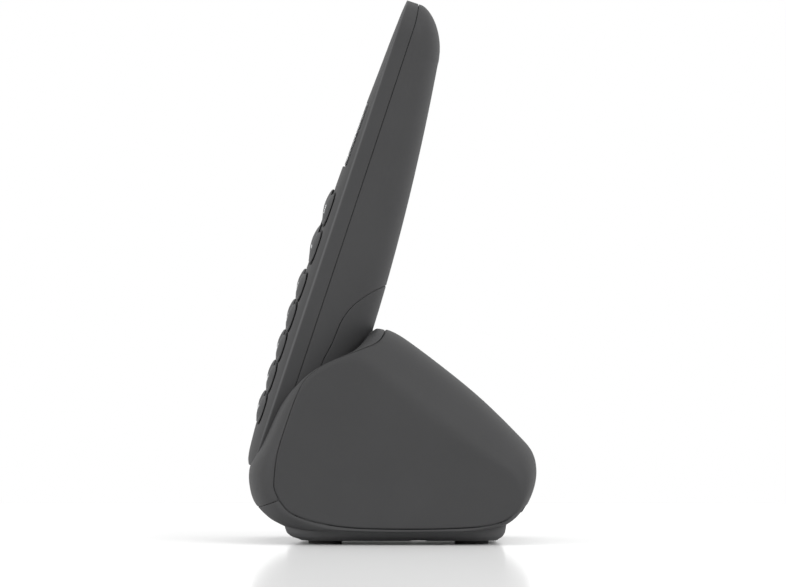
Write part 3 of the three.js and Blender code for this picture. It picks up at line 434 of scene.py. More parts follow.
# -------- handset form, in its own frame
# x is the width, y goes from the crease of the face to the back, z up the handset's length.
TILT = math.radians(18.3)
TIP = Vector((0, -43.04, 23.4))
HANDSET = Matrix.Translation(TIP) @ Matrix.Rotation(-TILT, 4, "X")
LENGTH, HALF_WIDTH, DEPTH, WALL = 151.6, 24, 21.9, 1.8
DEEPEST = 46
BAND, BAND_NARROWING, BAND_NARROWING_LENGTH = 4.8, 1.05, 8.6
BACK_ROUND, BACK_TAPER, BACK_TAPER_POWER, TIP_TAPER = 2.6, 0.00205, 1.8, 0.0012
TIP_CORNER, HEEL = 12, 4
TOP_CORNER, TOP_ROUND = 14, 3.3
TOP_FALL, TOP_FALL_ROUND, TOP_LIP, TOP_BLUNTING = 16, 1.7, 4, 0.2
CROWN = [
    (0, 1.6), (2, 2.5), (5, 2.87), (12, 3.36), (34, 3.65), (54, 3.74), (66, 3.58),
    (78, 3.3), (96, 2.88), (118, 2), (128, 1.5), (138, 1.07), (148, 0.47), (151.6, 0),
]
CROWN_ROUND, CREASE_RADIUS = 2.7, 0.6


def half_width(at):
    tip = TIP_CORNER - np.sqrt(TIP_CORNER**2 - (TIP_CORNER - at).clip(0, TIP_CORNER) ** 2)
    top = ((at - LENGTH + TOP_CORNER) / TOP_CORNER).clip(0, 1)
    return (HALF_WIDTH - tip) * (1 - top**TOP_ROUND) ** (1 / TOP_ROUND)


def back_depth(at):
    taper = BACK_TAPER * (at - DEEPEST).clip(0) ** BACK_TAPER_POWER
    body = DEPTH - taper - TIP_TAPER * (DEEPEST - at).clip(0) ** 2
    body = body - HEEL + np.sqrt(HEEL**2 - (HEEL - at).clip(0, HEEL) ** 2)
    start = LENGTH - TOP_FALL
    reach = DEPTH - BACK_TAPER * (start - DEEPEST) ** BACK_TAPER_POWER - TOP_LIP
    fall = ((at - start) / (TOP_FALL + TOP_BLUNTING)).clip(0, 1)
    top = TOP_LIP + reach * (1 - fall**TOP_FALL_ROUND) ** (1 / TOP_FALL_ROUND)
    return np.where(at <= start, body, top)


def band_depth(at):
    into_top = (at - LENGTH + BAND_NARROWING_LENGTH).clip(0) / BAND_NARROWING_LENGTH
    return BAND - BAND_NARROWING * into_top**2


def crown(at, x):
    """Height of the face over the crease plane."""
    share = np.abs(x) / np.maximum(half_width(at), 1e-6)
    return follow(CROWN, np.asarray(at, float)) * (1 - share**CROWN_ROUND)


def handset_stations():
    """Closer together at the corners, the slots and the top."""
    low = TIP_CORNER * (1 - np.cos(np.linspace(0, math.pi / 2, 28)))
    middle = np.linspace(TIP_CORNER, EAR_STATION - 5, 106)
    ear = np.linspace(EAR_STATION - 5, LENGTH - TOP_CORNER, 22)
    turn = np.radians(np.linspace(0, 81, 30))
    high = LENGTH - TOP_CORNER + TOP_CORNER * np.sin(turn) ** (2 / TOP_ROUND)
    return np.concatenate([low, middle[1:], ear[1:-1], high])


FACE_COLUMNS, CREASE_COLUMNS, SIDE_COLUMNS, BACK_COLUMNS, END_ROWS = 73, 7, 8, 97, 9


def handset_surface():
    """The whole handset: each row runs over the face, round the back and to the face again."""
    at = handset_stations()[:, None]
    width, band = half_width(at), band_depth(at)

    def columns(x, y):
        return np.stack(np.broadcast_arrays(x, y, at), axis=2)

    flat = width - CREASE_RADIUS
    across = flat * np.linspace(-1, 1, FACE_COLUMNS)
    face = columns(across, -crown(at, across))
    bend = np.linspace(0, 1, CREASE_COLUMNS)[1:]
    x = flat * (1 - bend) ** 2 + width * (1 - (1 - bend) ** 2)
    y = CREASE_RADIUS * bend**2 - crown(at, flat) * (1 - bend) ** 2
    side = CREASE_RADIUS + (band - CREASE_RADIUS) * np.linspace(0, 1, SIDE_COLUMNS)[1:-1]
    right = np.concatenate([columns(x, y), columns(width, side)], axis=1)
    left = right[:, ::-1] * [-1, 1, 1]
    x, y = superellipse(np.linspace(0, math.pi, BACK_COLUMNS), BACK_ROUND)
    back = columns(width * x, band + (back_depth(at) - band).clip(0) * y)
    rows = np.concatenate([face, right, back, left], axis=1)
    shares = np.linspace(0, 1, END_ROWS)[:-1, None, None]
    ends = []
    for row, seam in ((rows[0], BAND), (rows[-1], band[-1, 0])):
        spine = row * [1, 0, 1] + [0, seam, 0]
        ends.append(spine + (row - spine) * shares)
    rows = np.concatenate([ends[0], rows, ends[1][::-1]])
    return rows.reshape(-1, 3), grid_faces(len(rows), rows.shape[1], True)


# -------- handset pieces
KEY_PITCH, KEY_WIDTH, KEY_LENGTH, ROW_PITCH, TOP_ROW, ROW_ARCH = 11.4, 9.4, 8.4, 9.9, 58.8, 1.6
KEY_RISE, KEY_ROOT, KEY_SQUARE, KEY_PEAK = 1.28, 0.3, 3.4, 0.07
KEY_FALL_ACROSS, KEY_FALL_ALONG, KEY_LEAST_RISE, KEY_SHOULDER = 0.95, 0.85, 0.48, 0.28
KEY_EDGE, KEY_EDGE_ROUND = 0.5, 2.2
KEY_SKIRT, ROCKER_SKIRT = 0.9, 0.15  # how far in the skirt under a cap is
KEY_UNDERCUT, KEY_LIP = 0.14, 0.99
KEY_CLEARANCE = 0.22  # more than the gap of the CAD
KEY_SIDES, KEY_RINGS, KEY_RING_SPREAD = 72, 22, 1.35
MOAT_REACH, MOAT_DEPTH = 1, 0.9
# how far from the crease the painted highlight reaches, and how it fades out
PAINTED_HIGHLIGHT_REACH, PAINTED_HIGHLIGHT_FADE = 0.62, 0.3
ROWS = [
    ["key_1", "key_2", "key_3"], ["key_4", "key_5", "key_6"], ["key_7", "key_8", "key_9"],
    ["key_star", "key_0", "key_hash"], ["key_recall", "key_intercom", "key_mute"],
]
KEYS = {  # name: (x, station, width, length)
    name: (
        (column - 1) * KEY_PITCH, TOP_ROW - row * ROW_PITCH - ROW_ARCH * abs(column - 1),
        KEY_WIDTH, KEY_LENGTH,
    )
    for row, names in enumerate(ROWS)
    for column, name in enumerate(names)
}
for at, names in ((82.5, ("key_menu", "key_directory")), (70.1, ("key_talk", "key_end"))):
    for side, name in zip((-1, 1), names):
        KEYS[name] = (side * 12.1, at, 8.2, 9.9)
KEYS["key_navigation"] = (0, 78.1, 13.6, 22)
NAVIGATION_DOMES = [(0, 78.1 + end * 6, 12.2, 9.8) for end in (-1, 1)]
NAVIGATION_BLEND, NAVIGATION_FADE = 0.02, (0.5, 0.6)

LENS_HALF, LENS_LOW, LENS_HIGH = 16.9, 96.9, 117.3
EAR_STATION, MICROPHONE_STATION, RINGER_STATION = 132, 9.2, 103
SLOT_RADIUS, SLOT_PITCH, EAR_SLOT_REACH, RINGER_SLOT_REACH, MICROPHONE_RADIUS = 0.6, 3, 3.9, 4.4, 0.7
DOOR_LOW, DOOR_FAR = 4, 60
DOOR_EDGE = [
    (66.8, 22.6), (62.4, 17.9), (56.8, 13.7), (51.4, 11.8), (43.4, 11.4), (38.5, 10.4), (33, 10.2),
]


def key_holes(points):
    """Distance of the face's points from the nearest key's edge, positive outside every key."""
    distances = []
    for x, at, width, length in KEYS.values():
        half = np.array([width, length]) / 2 + GAP / 2
        offsets = (points[:, (0, 2)] - (x, at)) / half
        distances.append((squircle(offsets, KEY_SQUARE) - 1) * half.min())
    return np.minimum.reduce(distances)


FROM_FRONT, FROM_ABOVE = (0, 2), (0, 1)  # the axes that a view shows


def holes(points, view, places, radius, reach=0):
    """Distance from the nearest of some round holes, or slots with a reach, positive outside them."""
    apart = [(np.abs(points[:, view] - place) - reach).clip(0) for place in places]
    return np.linalg.norm(apart, axis=2).min(axis=0) - radius


def front_field(points):
    middle, half = (LENS_LOW + LENS_HIGH) / 2, (LENS_HIGH - LENS_LOW) / 2
    window = np.maximum(np.abs(points[:, 0]) - LENS_HALF, np.abs(points[:, 2] - middle) - half)
    ear = [(0, EAR_STATION + side * SLOT_PITCH) for side in (-1, 0, 1)]
    openings = np.minimum.reduce([
        key_holes(points) - KEY_CLEARANCE,
        window - GAP / 2,
        holes(points, FROM_FRONT, ear, SLOT_RADIUS - GAP / 2, (EAR_SLOT_REACH, 0)),
        holes(points, FROM_FRONT, [(0, MICROPHONE_STATION)], MICROPHONE_RADIUS - GAP / 2),
    ])
    openings = np.where(points[:, 1] < 0, openings, np.inf)
    return np.minimum(openings, band_depth(points[:, 2]) - points[:, 1])


def door_polygon():
    stations, depths = np.array(DOOR_EDGE, float).T
    knots = np.arange(len(DOOR_EDGE))
    along = np.linspace(0, knots[-1], 40)
    line = np.stack([follow(list(zip(knots, values)), along, 0.5) for values in (depths, stations)], axis=1)
    return [(line[-1][0], DOOR_LOW), (DOOR_FAR, DOOR_LOW), (DOOR_FAR, line[0][1]), *map(tuple, line)]


DOOR = door_polygon()


def back_field(points):
    outside_door = -inside(points, DOOR)
    seam = points[:, 1] - band_depth(points[:, 2])
    ringer = [(side * SLOT_PITCH, RINGER_STATION) for side in (-1, 0, 1)]
    openings = holes(points, FROM_FRONT, ringer, SLOT_RADIUS - GAP / 2, (0, RINGER_SLOT_REACH))
    openings = np.where(points[:, 1] > DEPTH / 2, openings, np.inf)
    return np.minimum.reduce([outside_door, seam, openings])


def door_field(points):
    return inside(points, DOOR)


def handset_seams(points):
    """Distance from the nearest seam of the handset's casing."""
    case = np.abs(points[:, 1] - band_depth(points[:, 2]))
    on_back = points[:, 1] > BAND + 1
    return np.minimum(case, np.where(on_back, np.abs(inside(points, DOOR)), np.inf))


def key_moat(points, normals):
    """The dip of the face round the keys."""
    near = (1 - key_holes(points) / MOAT_REACH).clip(0, 1)
    dip = np.where(points[:, 1] < 0, MOAT_DEPTH * near**1.5, 0)
    return dip[:, None] * [0, 1, 0]


def paint_crease_highlight(piece):
    """Marks the vertices along the crease between the face and the sides for a painted highlight, the light
    that a rounded crease catches.
    """
    marks = piece.data.attributes.new(PAINTED_HIGHLIGHT, "FLOAT", "POINT")
    x, y, at = in_handset(np.array([vertex.co for vertex in piece.data.vertices]) / MM).T
    apart = np.hypot(half_width(at.clip(0, LENGTH)) - np.abs(x), y)
    marks.data.foreach_set("value", ((PAINTED_HIGHLIGHT_REACH - apart) / PAINTED_HIGHLIGHT_FADE).clip(0, 1))


CASE_LIP = 0.18
MOAT_RINGS = (*EDGE_RINGS, 2, 3.2, 4.6, 6)


def handset_casing():
    """Front shell, back shell and battery door, each with its wall."""
    surface = handset_surface()
    front = cut_shell(*surface, front_field, CASE_LIP, WALL, shift=key_moat, rings=MOAT_RINGS)
    for name, node, shell in (
        ("front_shell", "handset_front_shell", front),
        ("back_shell", "handset_back_shell", cut_shell(*surface, back_field, CASE_LIP, WALL)),
        ("battery_cover", "battery_door", cut_shell(*surface, door_field, CASE_LIP, WALL)),
        ("case_tongue", "handset_back_shell", seam_tongue(*surface, handset_seams)),
    ):
        piece = make_piece(name, *shell, node, "handset_plastic", "handset", HANDSET)
        if shell is front:
            # the crease of the face gets its painted highlight
            paint_crease_highlight(piece)


def cap_rise(key, x, at):
    """Height of a domed cap over the face, at points inside its outline."""
    middle_x, middle_at, width, length = key
    half = np.array([width, length]) / 2
    u, v = (x - middle_x) / half[0], (at - middle_at) / half[1]
    reach = squircle(np.stack([u, v], axis=1), KEY_SQUARE)
    dome = KEY_RISE - KEY_FALL_ACROSS * u**2 - KEY_FALL_ALONG * (v - KEY_PEAK) ** 2
    rounding = (1 - ((1 - reach) * half.min() / KEY_EDGE).clip(0, 1)) ** KEY_EDGE_ROUND
    return np.maximum(dome, KEY_LEAST_RISE) - KEY_SHOULDER * rounding


def key_height(name, x, at):
    """Height of a key's top over the crease plane."""
    if name != "key_navigation":
        return crown(at, x) + cap_rise(KEYS[name], x, at)
    plate = cap_rise(KEYS[name], x, at).clip(None, KEY_LEAST_RISE)
    ends = [cap_rise(dome, x, at) + KEY_SHOULDER * 0.5 for dome in NAVIGATION_DOMES]
    over = np.maximum(*ends) - plate
    swell = (over + np.sqrt(over**2 + NAVIGATION_BLEND)) / 2
    fade = ((plate + NAVIGATION_FADE[0]) / NAVIGATION_FADE[1]).clip(0, 1)
    return crown(at, x) + plate + swell * fade


def make_key(name):
    """A key's cap: the skirt under its lip, and its domed top in rings."""
    middle_x, middle_at, width, length = KEYS[name]
    turn = np.linspace(0, 2 * math.pi, KEY_SIDES, endpoint=False)
    edge = np.column_stack(superellipse(turn, KEY_SQUARE)) * (width / 2, length / 2)
    inset = ROCKER_SKIRT if name == "key_navigation" else KEY_SKIRT
    skirt = edge * (1 - 2 * inset / np.array([width, length]))
    shares = 1 - np.linspace(0, 1, KEY_RINGS)[:-1] ** KEY_RING_SPREAD
    rings = [(edge * share, key_height(name, *(edge * share + (middle_x, middle_at)).T)) for share in shares]
    under = rings[0][1] - KEY_UNDERCUT
    rings = [(skirt, np.full(KEY_SIDES, -KEY_ROOT)), (skirt, under), (edge * KEY_LIP, under), *rings]
    middle = (middle_x, 0, middle_at)
    rings = [np.column_stack([ring[:, 0], -height, ring[:, 1]]) + middle for ring, height in rings]
    make_piece(name + "_cap", *body_of(rings), name, "key_plastic", name, HANDSET)


# -------- base form
# The outline at the middle and at the flat sides, as pairs of (y, z): down the front, back
# along the bottom, up the rear and over the slope to the rim.
BASE_OUTLINE = [
    ((-43.9, 24.3), (-34.1, 25)), ((-44.5, 20.5), (-34.5, 20.5)), ((-43.9, 15.8), (-34.4, 15.8)),
    ((-42.3, 11.2), (-33.5, 12.2)), ((-38.9, 8.1), (-30.8, 9.4)), ((-34.5, 5.6), (-25.5, 7)),
    ((-30.5, 4), (-18, 5.1)), ((-10, 3.7), (-6, 4.1)), ((12, 3.7), (10, 4)),
    ((31.5, 4), (25, 4.6)), ((36.2, 5.9), (31.5, 5.9)), ((39.2, 8.5), (35.2, 7.7)),
    ((42, 12.7), (37.4, 10.6)), ((44, 18), (38.6, 13.8)), ((44.5, 22.8), (38.2, 18)),
    ((43.2, 28), (35.6, 21.4)), ((38.9, 32.9), (30, 24.4)), ((26.1, 45.3), (15.7, 33.2)),
    ((6.4, 60.8), (-3.3, 48)), ((1, 64.4), (-8.2, 52.6)), ((-2.9, 65.9), (-11.4, 55.2)),
    ((-5.8, 66), (-14, 55.6)), ((-11, 63.9), (-17, 54.8)), ((-20.5, 58.9), (-21.5, 52.9)),
    ((-27.2, 54.2), (-25.4, 49.6)), ((-33, 47), (-28.2, 44.8)), ((-37.2, 38.5), (-30.9, 37)),
    ((-40.8, 30), (-33.2, 30)),
]
INSERT_SEAM = [
    (-1.5, 72), (-2.7, 64.4), (-4.9, 61.9), (-9.3, 60.1), (-19.5, 56), (-23.9, 53.3), (-27, 50.5),
    (-29.2, 46.4), (-32.7, 36.6), (-35.3, 27.7), (-36.1, 21.1), (-36.2, 17.5), (-34.6, 13.8),
]
LIP_SEAM = [(-34.6, 13.8), (-41.5, 11), (-60, 6.5)]
TRAY_SEAM = [
    (-34.6, 13.8), (-31.8, 10.4), (-27.1, 8.1), (-20.9, 6.5), (-13.2, 5.4), (2.3, 4.9),
    (17.8, 5.1), (27.1, 5.7), (31.8, 6.6), (34.9, 7.8), (37.4, 9.6), (60, 19),
]
FAR = 120  # past every surface
UPWARD = HANDSET.to_3x3() @ Vector((0, 0, 1))  # the way the handset lifts out
LEAD_IN_REACH = ((5, 28, 40), (2.6, 7, 12))  # its width, by the handset's station
LEAD_IN_DEPTH = ((5, 12, 28, 40), (0, 1.6, 3.6, 7))
LEAD_IN_MARGIN = 1.2  # from the insert's seams
LEAD_IN_END, LEAD_IN_FADE = 18, 5  # behind the handset's crease
HOUSING_LIP, INSERT_LIP, LINER_LIP, TRAY_LIP, PLINTH_LIP = 0.6, 0.2, 0.3, 0.2, 0.25
INSERT_RINGS = (*EDGE_RINGS, 2.5, 4.5, 7, 10, 13, 17, 21, 26, 32, 40)
INSERT_STEP, INSERT_STEP_REACH = 0.3, 5
TRAY_STEP, TRAY_STEP_REACH = 0.35, 5
BASE_HALF, BASE_FLAT, PILLOW_ROUND, BASE_WALL = 38, 8, 2.3, 2.2
POCKET_CLEARANCE, POCKET_WALL, POCKET_FLOOR = 0.45, 1.9, -0.5
POCKET_TOP, POCKET_AHEAD, FLOOR_ROWS = 80, -14, 8  # its surface runs on past the base's
PLINTH_HALF, PLINTH_FRONT, PLINTH_REAR, PLINTH_CORNER = 30, -33.2, 34.9, 10
PLINTH_LOW, PLINTH_HIGH, PLINTH_DRAW, PLINTH_FRONT_DRAW = 1, 5.6, 2.9, 5.6
PLINTH_PROFILE = [  # how far in, and the share of its height
    (0, 1), (0.15, 0.75), (0.4, 0.5), (0.95, 0.3), (1.5, 0.19), (2.2, 0.1),
]
PLINTH_EDGE_ROUND, PLINTH_TUCK = 1.6, 1.2  # the tuck is its overlap with the tray's rim
FOOT_RADIUS, FOOT_HEIGHT, FOOT_INSET, FRONT_FOOT_INSET = 5, 1.7, 10.5, 12.4
FOOT_GROOVES, GROOVE_DEPTH, GROOVE_WIDTH, FOOT_ROUND = (4, 2), 0.25, 0.5, 0.28
BASE_SCREWS, BASE_SCREW_HEAD = {"left": (-25.5, 8), "right": (25.5, 8)}, 2.6
PAGE_BUTTON, PAGE_BUTTON_RADIUS, STEM_RADIUS, STEM_LENGTH = (0, 14.8), 3.2, 1.5, 7
BUTTON_LIP, BUTTON_WALL, BUTTON_MARGIN = 0.35, 1.3, 0.3
FRONT_END, REAR_START = -30, 20  # how far back the front reaches, and where the rear begins
CHARGE_PINS, CHARGE_PIN_RADIUS = [(-6, 10.6), (6, 10.6)], 0.9


def smooth_line(points, count=14):
    """An open centripetal Catmull-Rom curve through a seam's points."""
    points = np.array(points, float)
    points = [2 * points[0] - points[1], *points, 2 * points[-1] - points[-2]]
    curve = closed_spline(points, [count] * len(points))
    return curve[count : count * (len(points) - 2) + 1]


def base_rings():
    """The outline at the middle and at the flat sides, with the same sampling."""
    middle, side = (np.array(points) for points in zip(*BASE_OUTLINE))
    spans = np.linalg.norm(np.roll(middle, -1, axis=0) - middle, axis=1)
    counts = np.maximum(np.round(spans / 0.9).astype(int), 3)
    return relaxed(closed_spline(middle, counts), 8), relaxed(closed_spline(side, counts), 8)


def base_surface():
    """Rows over the width: a flat side, the pillow to the middle, and mirrored to the other side."""
    middle, side = base_rings()
    centre = (side.min(axis=0) + side.max(axis=0)) / 2
    rows = [(BASE_HALF, centre + (side - centre) * share) for share in np.linspace(0.04, 0.98, 30)]
    for turn in np.radians([90, 88, 86, 84, 81, 78, 74, 70, 66, 61, 56, 50, 44, 37, 30, 22, 13, 0]):
        swell = math.cos(turn) ** (2 / PILLOW_ROUND) if turn < 1.57 else 0
        reach = BASE_FLAT + (BASE_HALF - BASE_FLAT) * math.sin(turn) ** (2 / PILLOW_ROUND)
        rows.append((reach, side + (middle - side) * swell))
    rows += [(BASE_FLAT * share, middle) for share in np.linspace(1, 0, 17)[1:]]
    rows += [(-reach, ring) for reach, ring in rows[-2::-1]]
    return turned_round(*body_of([np.insert(ring, 0, reach, axis=1) for reach, ring in rows]))


def in_handset(points):
    """Points of the shared frame in the docked handset's frame."""
    return placed_by(HANDSET.inverted(), points)


def outside_pocket(points, grown=POCKET_CLEARANCE):
    """Distance from the space that the docked handset needs."""
    x, y, at = in_handset(points).T
    station = at.clip(0, DEEPEST)
    half = half_width(station) + grown
    reach = back_depth(station) + grown - BAND
    offsets = np.stack([x / half, (y - BAND).clip(0) / reach], axis=1)
    section = (squircle(offsets, BACK_ROUND) - 1) * np.minimum(half, reach)
    return np.maximum(section, POCKET_FLOOR - at)


INSERT_REGION = [*smooth_line(INSERT_SEAM), *LIP_SEAM[1:], (-FAR, FAR), (-1.5, FAR)]
HOUSING_REGION = [*smooth_line(TRAY_SEAM)[::-1], *smooth_line(INSERT_SEAM)[-2::-1], (FAR, FAR)]
TRAY_REGION = [*LIP_SEAM[::-1], *smooth_line(TRAY_SEAM)[1:], (FAR, -FAR), (-FAR, -FAR)]


def insert_field(points):
    button = holes(points, FROM_FRONT, [PAGE_BUTTON], PAGE_BUTTON_RADIUS + GAP / 2)
    button = np.where(points[:, 1] < FRONT_END, button, np.inf)
    region = np.minimum(inside(points, INSERT_REGION), button)
    return np.minimum(region, outside_pocket(points) + GAP / 2)


def lead_in_depth(points):
    """Depth of the insert's lead-in beside the handset, in the handset's frame: none behind it."""
    behind = ((points[:, 1] - LEAD_IN_END) / LEAD_IN_FADE).clip(0, 1)
    return np.interp(points[:, 2], *LEAD_IN_DEPTH) * (1 - behind**2 * (3 - 2 * behind))


def insert_shift(points, normals):
    """Lowers the insert: a little along the housing, and more in its lead-in to the handset."""
    placed = in_handset(points)
    near = 1 - (outside_pocket(points) + SEAM) / np.interp(placed[:, 2], *LEAD_IN_REACH)
    margin = inside(points, INSERT_REGION)
    step = (1 - margin / INSERT_STEP_REACH).clip(0, 1)
    down = lead_in_depth(placed) * near.clip(0, 1) * (margin / LEAD_IN_MARGIN).clip(0, 1)
    return -down[:, None] * np.array(UPWARD) - (INSERT_STEP * step**2)[:, None] * normals


def tray_shift(points, normals):
    """Sets the tray back under the housing's lower edge."""
    near = 1 - (inside(points, TRAY_REGION) / TRAY_STEP_REACH).clip(0, 1) ** 2
    return -TRAY_STEP * near[:, None] * normals


def socket_holes(points):
    """Distance from the openings for the sockets, at the rear."""
    distances = []
    for name in ("power_socket", "line_socket"):
        low, high = (np.array(corner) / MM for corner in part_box(name))
        apart = np.abs(points - (low + high) / 2) - (high - low) / 2
        distances.append(np.maximum(apart[:, 0], apart[:, 2]) - GAP / 2)
    return np.where(points[:, 1] > REAR_START, np.minimum(*distances), np.inf)


def housing_field(points):
    region = np.minimum(inside(points, HOUSING_REGION), socket_holes(points))
    return np.minimum(region, outside_pocket(points, POCKET_CLEARANCE + POCKET_WALL + GAP) + GAP / 2)


def plinth_distance(points):
    """Distance from an outline just inside the plinth's, seen from above."""
    middle = (PLINTH_FRONT + PLINTH_REAR) / 2
    half = np.array([PLINTH_HALF, (PLINTH_REAR - PLINTH_FRONT) / 2]) - PLINTH_TUCK
    apart = np.abs(points[:, :2] - (0, middle)) - half + PLINTH_CORNER
    return np.linalg.norm(apart.clip(0), axis=1) + apart.max(axis=1).clip(None, 0) - PLINTH_CORNER


def tray_field(points):
    plinth = np.where(points[:, 2] < PLINTH_HIGH + 2, plinth_distance(points), np.inf)
    region = np.minimum(inside(points, TRAY_REGION), socket_holes(points))
    return np.minimum(region, plinth + GAP / 2)


def pocket_surface():
    """The pocket's walls and floor in rows from the floor's middle up, seen from inside it."""
    corner = POCKET_FLOOR + TIP_CORNER * (1 - np.cos(np.linspace(0, math.pi / 2, 13)))
    walls = np.linspace(corner[-1], POCKET_TOP, 60)
    at = np.concatenate([np.full(FLOOR_ROWS, POCKET_FLOOR), corner[1:], walls[1:]])[:, None]
    squeeze = np.ones(at.shape)
    squeeze[:FLOOR_ROWS, 0] = np.linspace(0.02, 1, FLOOR_ROWS)
    station = (at - POCKET_FLOOR).clip(0, DEEPEST)
    half = half_width(station) + POCKET_CLEARANCE
    reach = back_depth(station) + POCKET_CLEARANCE - BAND
    x, y = superellipse(np.linspace(0, math.pi, 73), BACK_ROUND)
    ahead = np.linspace(POCKET_AHEAD, BAND, 14)[:-1]
    x = half * np.concatenate([0 * ahead + 1, x, 0 * ahead - 1]) * squeeze
    flanks = np.tile(ahead, (len(at), 1))
    y = np.hstack([flanks, BAND + reach * y, flanks[:, ::-1]])
    return np.stack(np.broadcast_arrays(x, y, at), axis=2)


def base_seams(points):
    """Distance from the nearest seam between the base's mouldings, away from the pocket."""
    seams = [np.abs(inside(points, region)) for region in (INSERT_REGION, HOUSING_REGION)]
    pocket = TONGUE_REACH + GAP - outside_pocket(points)
    return np.maximum(np.minimum(*seams), pocket)


def base_casing():
    """Housing, cradle insert with its pocket, and the bottom tray's rim."""
    surface, faces = base_surface()
    tree = BVHTree.FromPolygons(surface.tolist(), faces)

    def below_base(points):
        """How far points of the handset's frame lie below the base's surface, the way it lifts out."""
        heights = []
        for point in map(Vector, placed_by(HANDSET, points)):
            spot = tree.ray_cast(point + FAR * UPWARD, -UPWARD)[0]
            heights.append((spot - point).dot(UPWARD) if spot else -FAR)
        return np.array(heights)

    def liner_field(points):
        pins = holes(points, FROM_ABOVE, CHARGE_PINS, CHARGE_PIN_RADIUS + GAP / 2)
        pins = np.where(points[:, 2] < POCKET_FLOOR + 0.5, pins, np.inf)
        return np.minimum(below_base(points) - lead_in_depth(points) - GAP, pins)

    rows = pocket_surface()
    count = rows.shape[1]
    across = [(c + 1, c, count - 1 - c, count - 2 - c) for c in range(count // 2 - 1)]
    across.append((count // 2, count // 2 - 1, count // 2 + 1))
    pocket = (rows.reshape(-1, 3), grid_faces(len(rows), count, False) + across)
    outside = (surface, faces)
    housing = cut_shell(*outside, housing_field, HOUSING_LIP, BASE_WALL)
    insert = cut_shell(*outside, insert_field, INSERT_LIP, BASE_WALL, shift=insert_shift, rings=INSERT_RINGS)
    liner = cut_shell(*pocket, liner_field, LINER_LIP, POCKET_WALL)
    rim = cut_shell(*outside, tray_field, TRAY_LIP, BASE_WALL, shift=tray_shift)
    for name, node, slot, shell, placed in (
        ("housing_shell", "base_housing", "housing_plastic", housing, None),
        ("insert_face", "cradle_insert", "insert_plastic", insert, None),
        ("pocket_liner", "cradle_insert", "insert_plastic", liner, HANDSET),
        ("tray_rim", "bottom_tray", "tray_plastic", rim, None),
        ("base_tongue", "bottom_tray", "tray_plastic", seam_tongue(*outside, base_seams), None),
    ):
        make_piece(name, *shell, node, slot, "base", placed)


def plinth_levels():
    """How far in, how high and how large the plinth's rings are, from its top edge on."""
    draws, shares = np.array(PLINTH_PROFILE).T
    knots = np.arange(len(draws))
    steps = np.linspace(0, knots[-1], 22)
    rise = PLINTH_HIGH - PLINTH_LOW
    side = zip(np.interp(steps, knots, draws), np.interp(steps, knots, shares))
    levels = [(draw, PLINTH_LOW + rise * share, 1) for draw, share in side]
    for sine in np.sin(np.radians([22, 45, 68, 90])):
        low = PLINTH_LOW + rise * shares[-1] * (1 - sine) ** PLINTH_EDGE_ROUND
        levels.append((draws[-1] + (PLINTH_DRAW - draws[-1]) * sine, low, 1))
    return levels + [(PLINTH_DRAW, PLINTH_LOW, share) for share in np.linspace(0.97, 0.03, 26)]


def plinth_rings():
    """The plinth from its top edge down its sides and in over its underside."""
    middle = np.array([0, (PLINTH_FRONT + PLINTH_REAR) / 2])
    rings = []
    for draw, height, share in plinth_levels():
        low = (draw - PLINTH_HALF, PLINTH_FRONT + draw * PLINTH_FRONT_DRAW / PLINTH_DRAW)
        high = (PLINTH_HALF - draw, PLINTH_REAR - draw)
        ring = middle + (rounded_rectangle(low, high, PLINTH_CORNER - draw, 13, 24) - middle) * share
        rings.append(np.insert(ring, 2, height, axis=1))
    return rings


def foot_places():
    rows = (PLINTH_FRONT + FRONT_FOOT_INSET, PLINTH_REAR - FOOT_INSET)
    return [(side * (PLINTH_HALF - FOOT_INSET), y) for side in (-1, 1) for y in rows]


def plinth():
    """The plinth's shell, with holes for the feet and the screws."""
    def field(points):
        openings = np.minimum(
            holes(points, FROM_ABOVE, foot_places(), FOOT_RADIUS + GAP / 2),
            holes(points, FROM_ABOVE, BASE_SCREWS.values(), BASE_SCREW_HEAD + GAP / 2),
        )
        return np.where(points[:, 2] < PLINTH_LOW + 0.5, openings, np.inf)

    points, faces = turned_round(*body_of(plinth_rings()))
    faces.pop(-2)  # it is open at the top
    shell = cut_shell(points, faces, field, PLINTH_LIP, BASE_WALL)
    # the plinth takes the lighter copy of the tray plastic: painted light against the shade under the
    # overhang
    make_piece("plinth", *shell, "bottom_tray", "tray_plastic", "base", look="tray_plastic_painted_lighter")


# -------- small turned pieces
AXIS = 0.02  # the radius where a profile ends


def turned(profile, sides=72):
    """A round body from a profile of (radius, height) in mm."""
    turn = np.linspace(0, 2 * math.pi, sides, endpoint=False)
    rings = [np.column_stack([r * np.cos(turn), r * np.sin(turn), np.full(sides, h)]) for r, h in profile]
    return body_of(rings)


def rounded(corners, radius, steps=6):
    """A profile whose inner corners are rounded."""
    corners = [np.array(corner, float) for corner in corners]
    points = [corners[0]]
    for before, corner, after in zip(corners, corners[1:], corners[2:]):
        back, ahead = before - corner, after - corner
        reach = min(radius, np.linalg.norm(back) / 2, np.linalg.norm(ahead) / 2)
        start = corner + back / np.linalg.norm(back) * reach
        end = corner + ahead / np.linalg.norm(ahead) * reach
        for t in np.linspace(0, 1, steps):
            points.append((1 - t) ** 2 * start + 2 * t * (1 - t) * corner + t**2 * end)
    return [*points, corners[-1]]


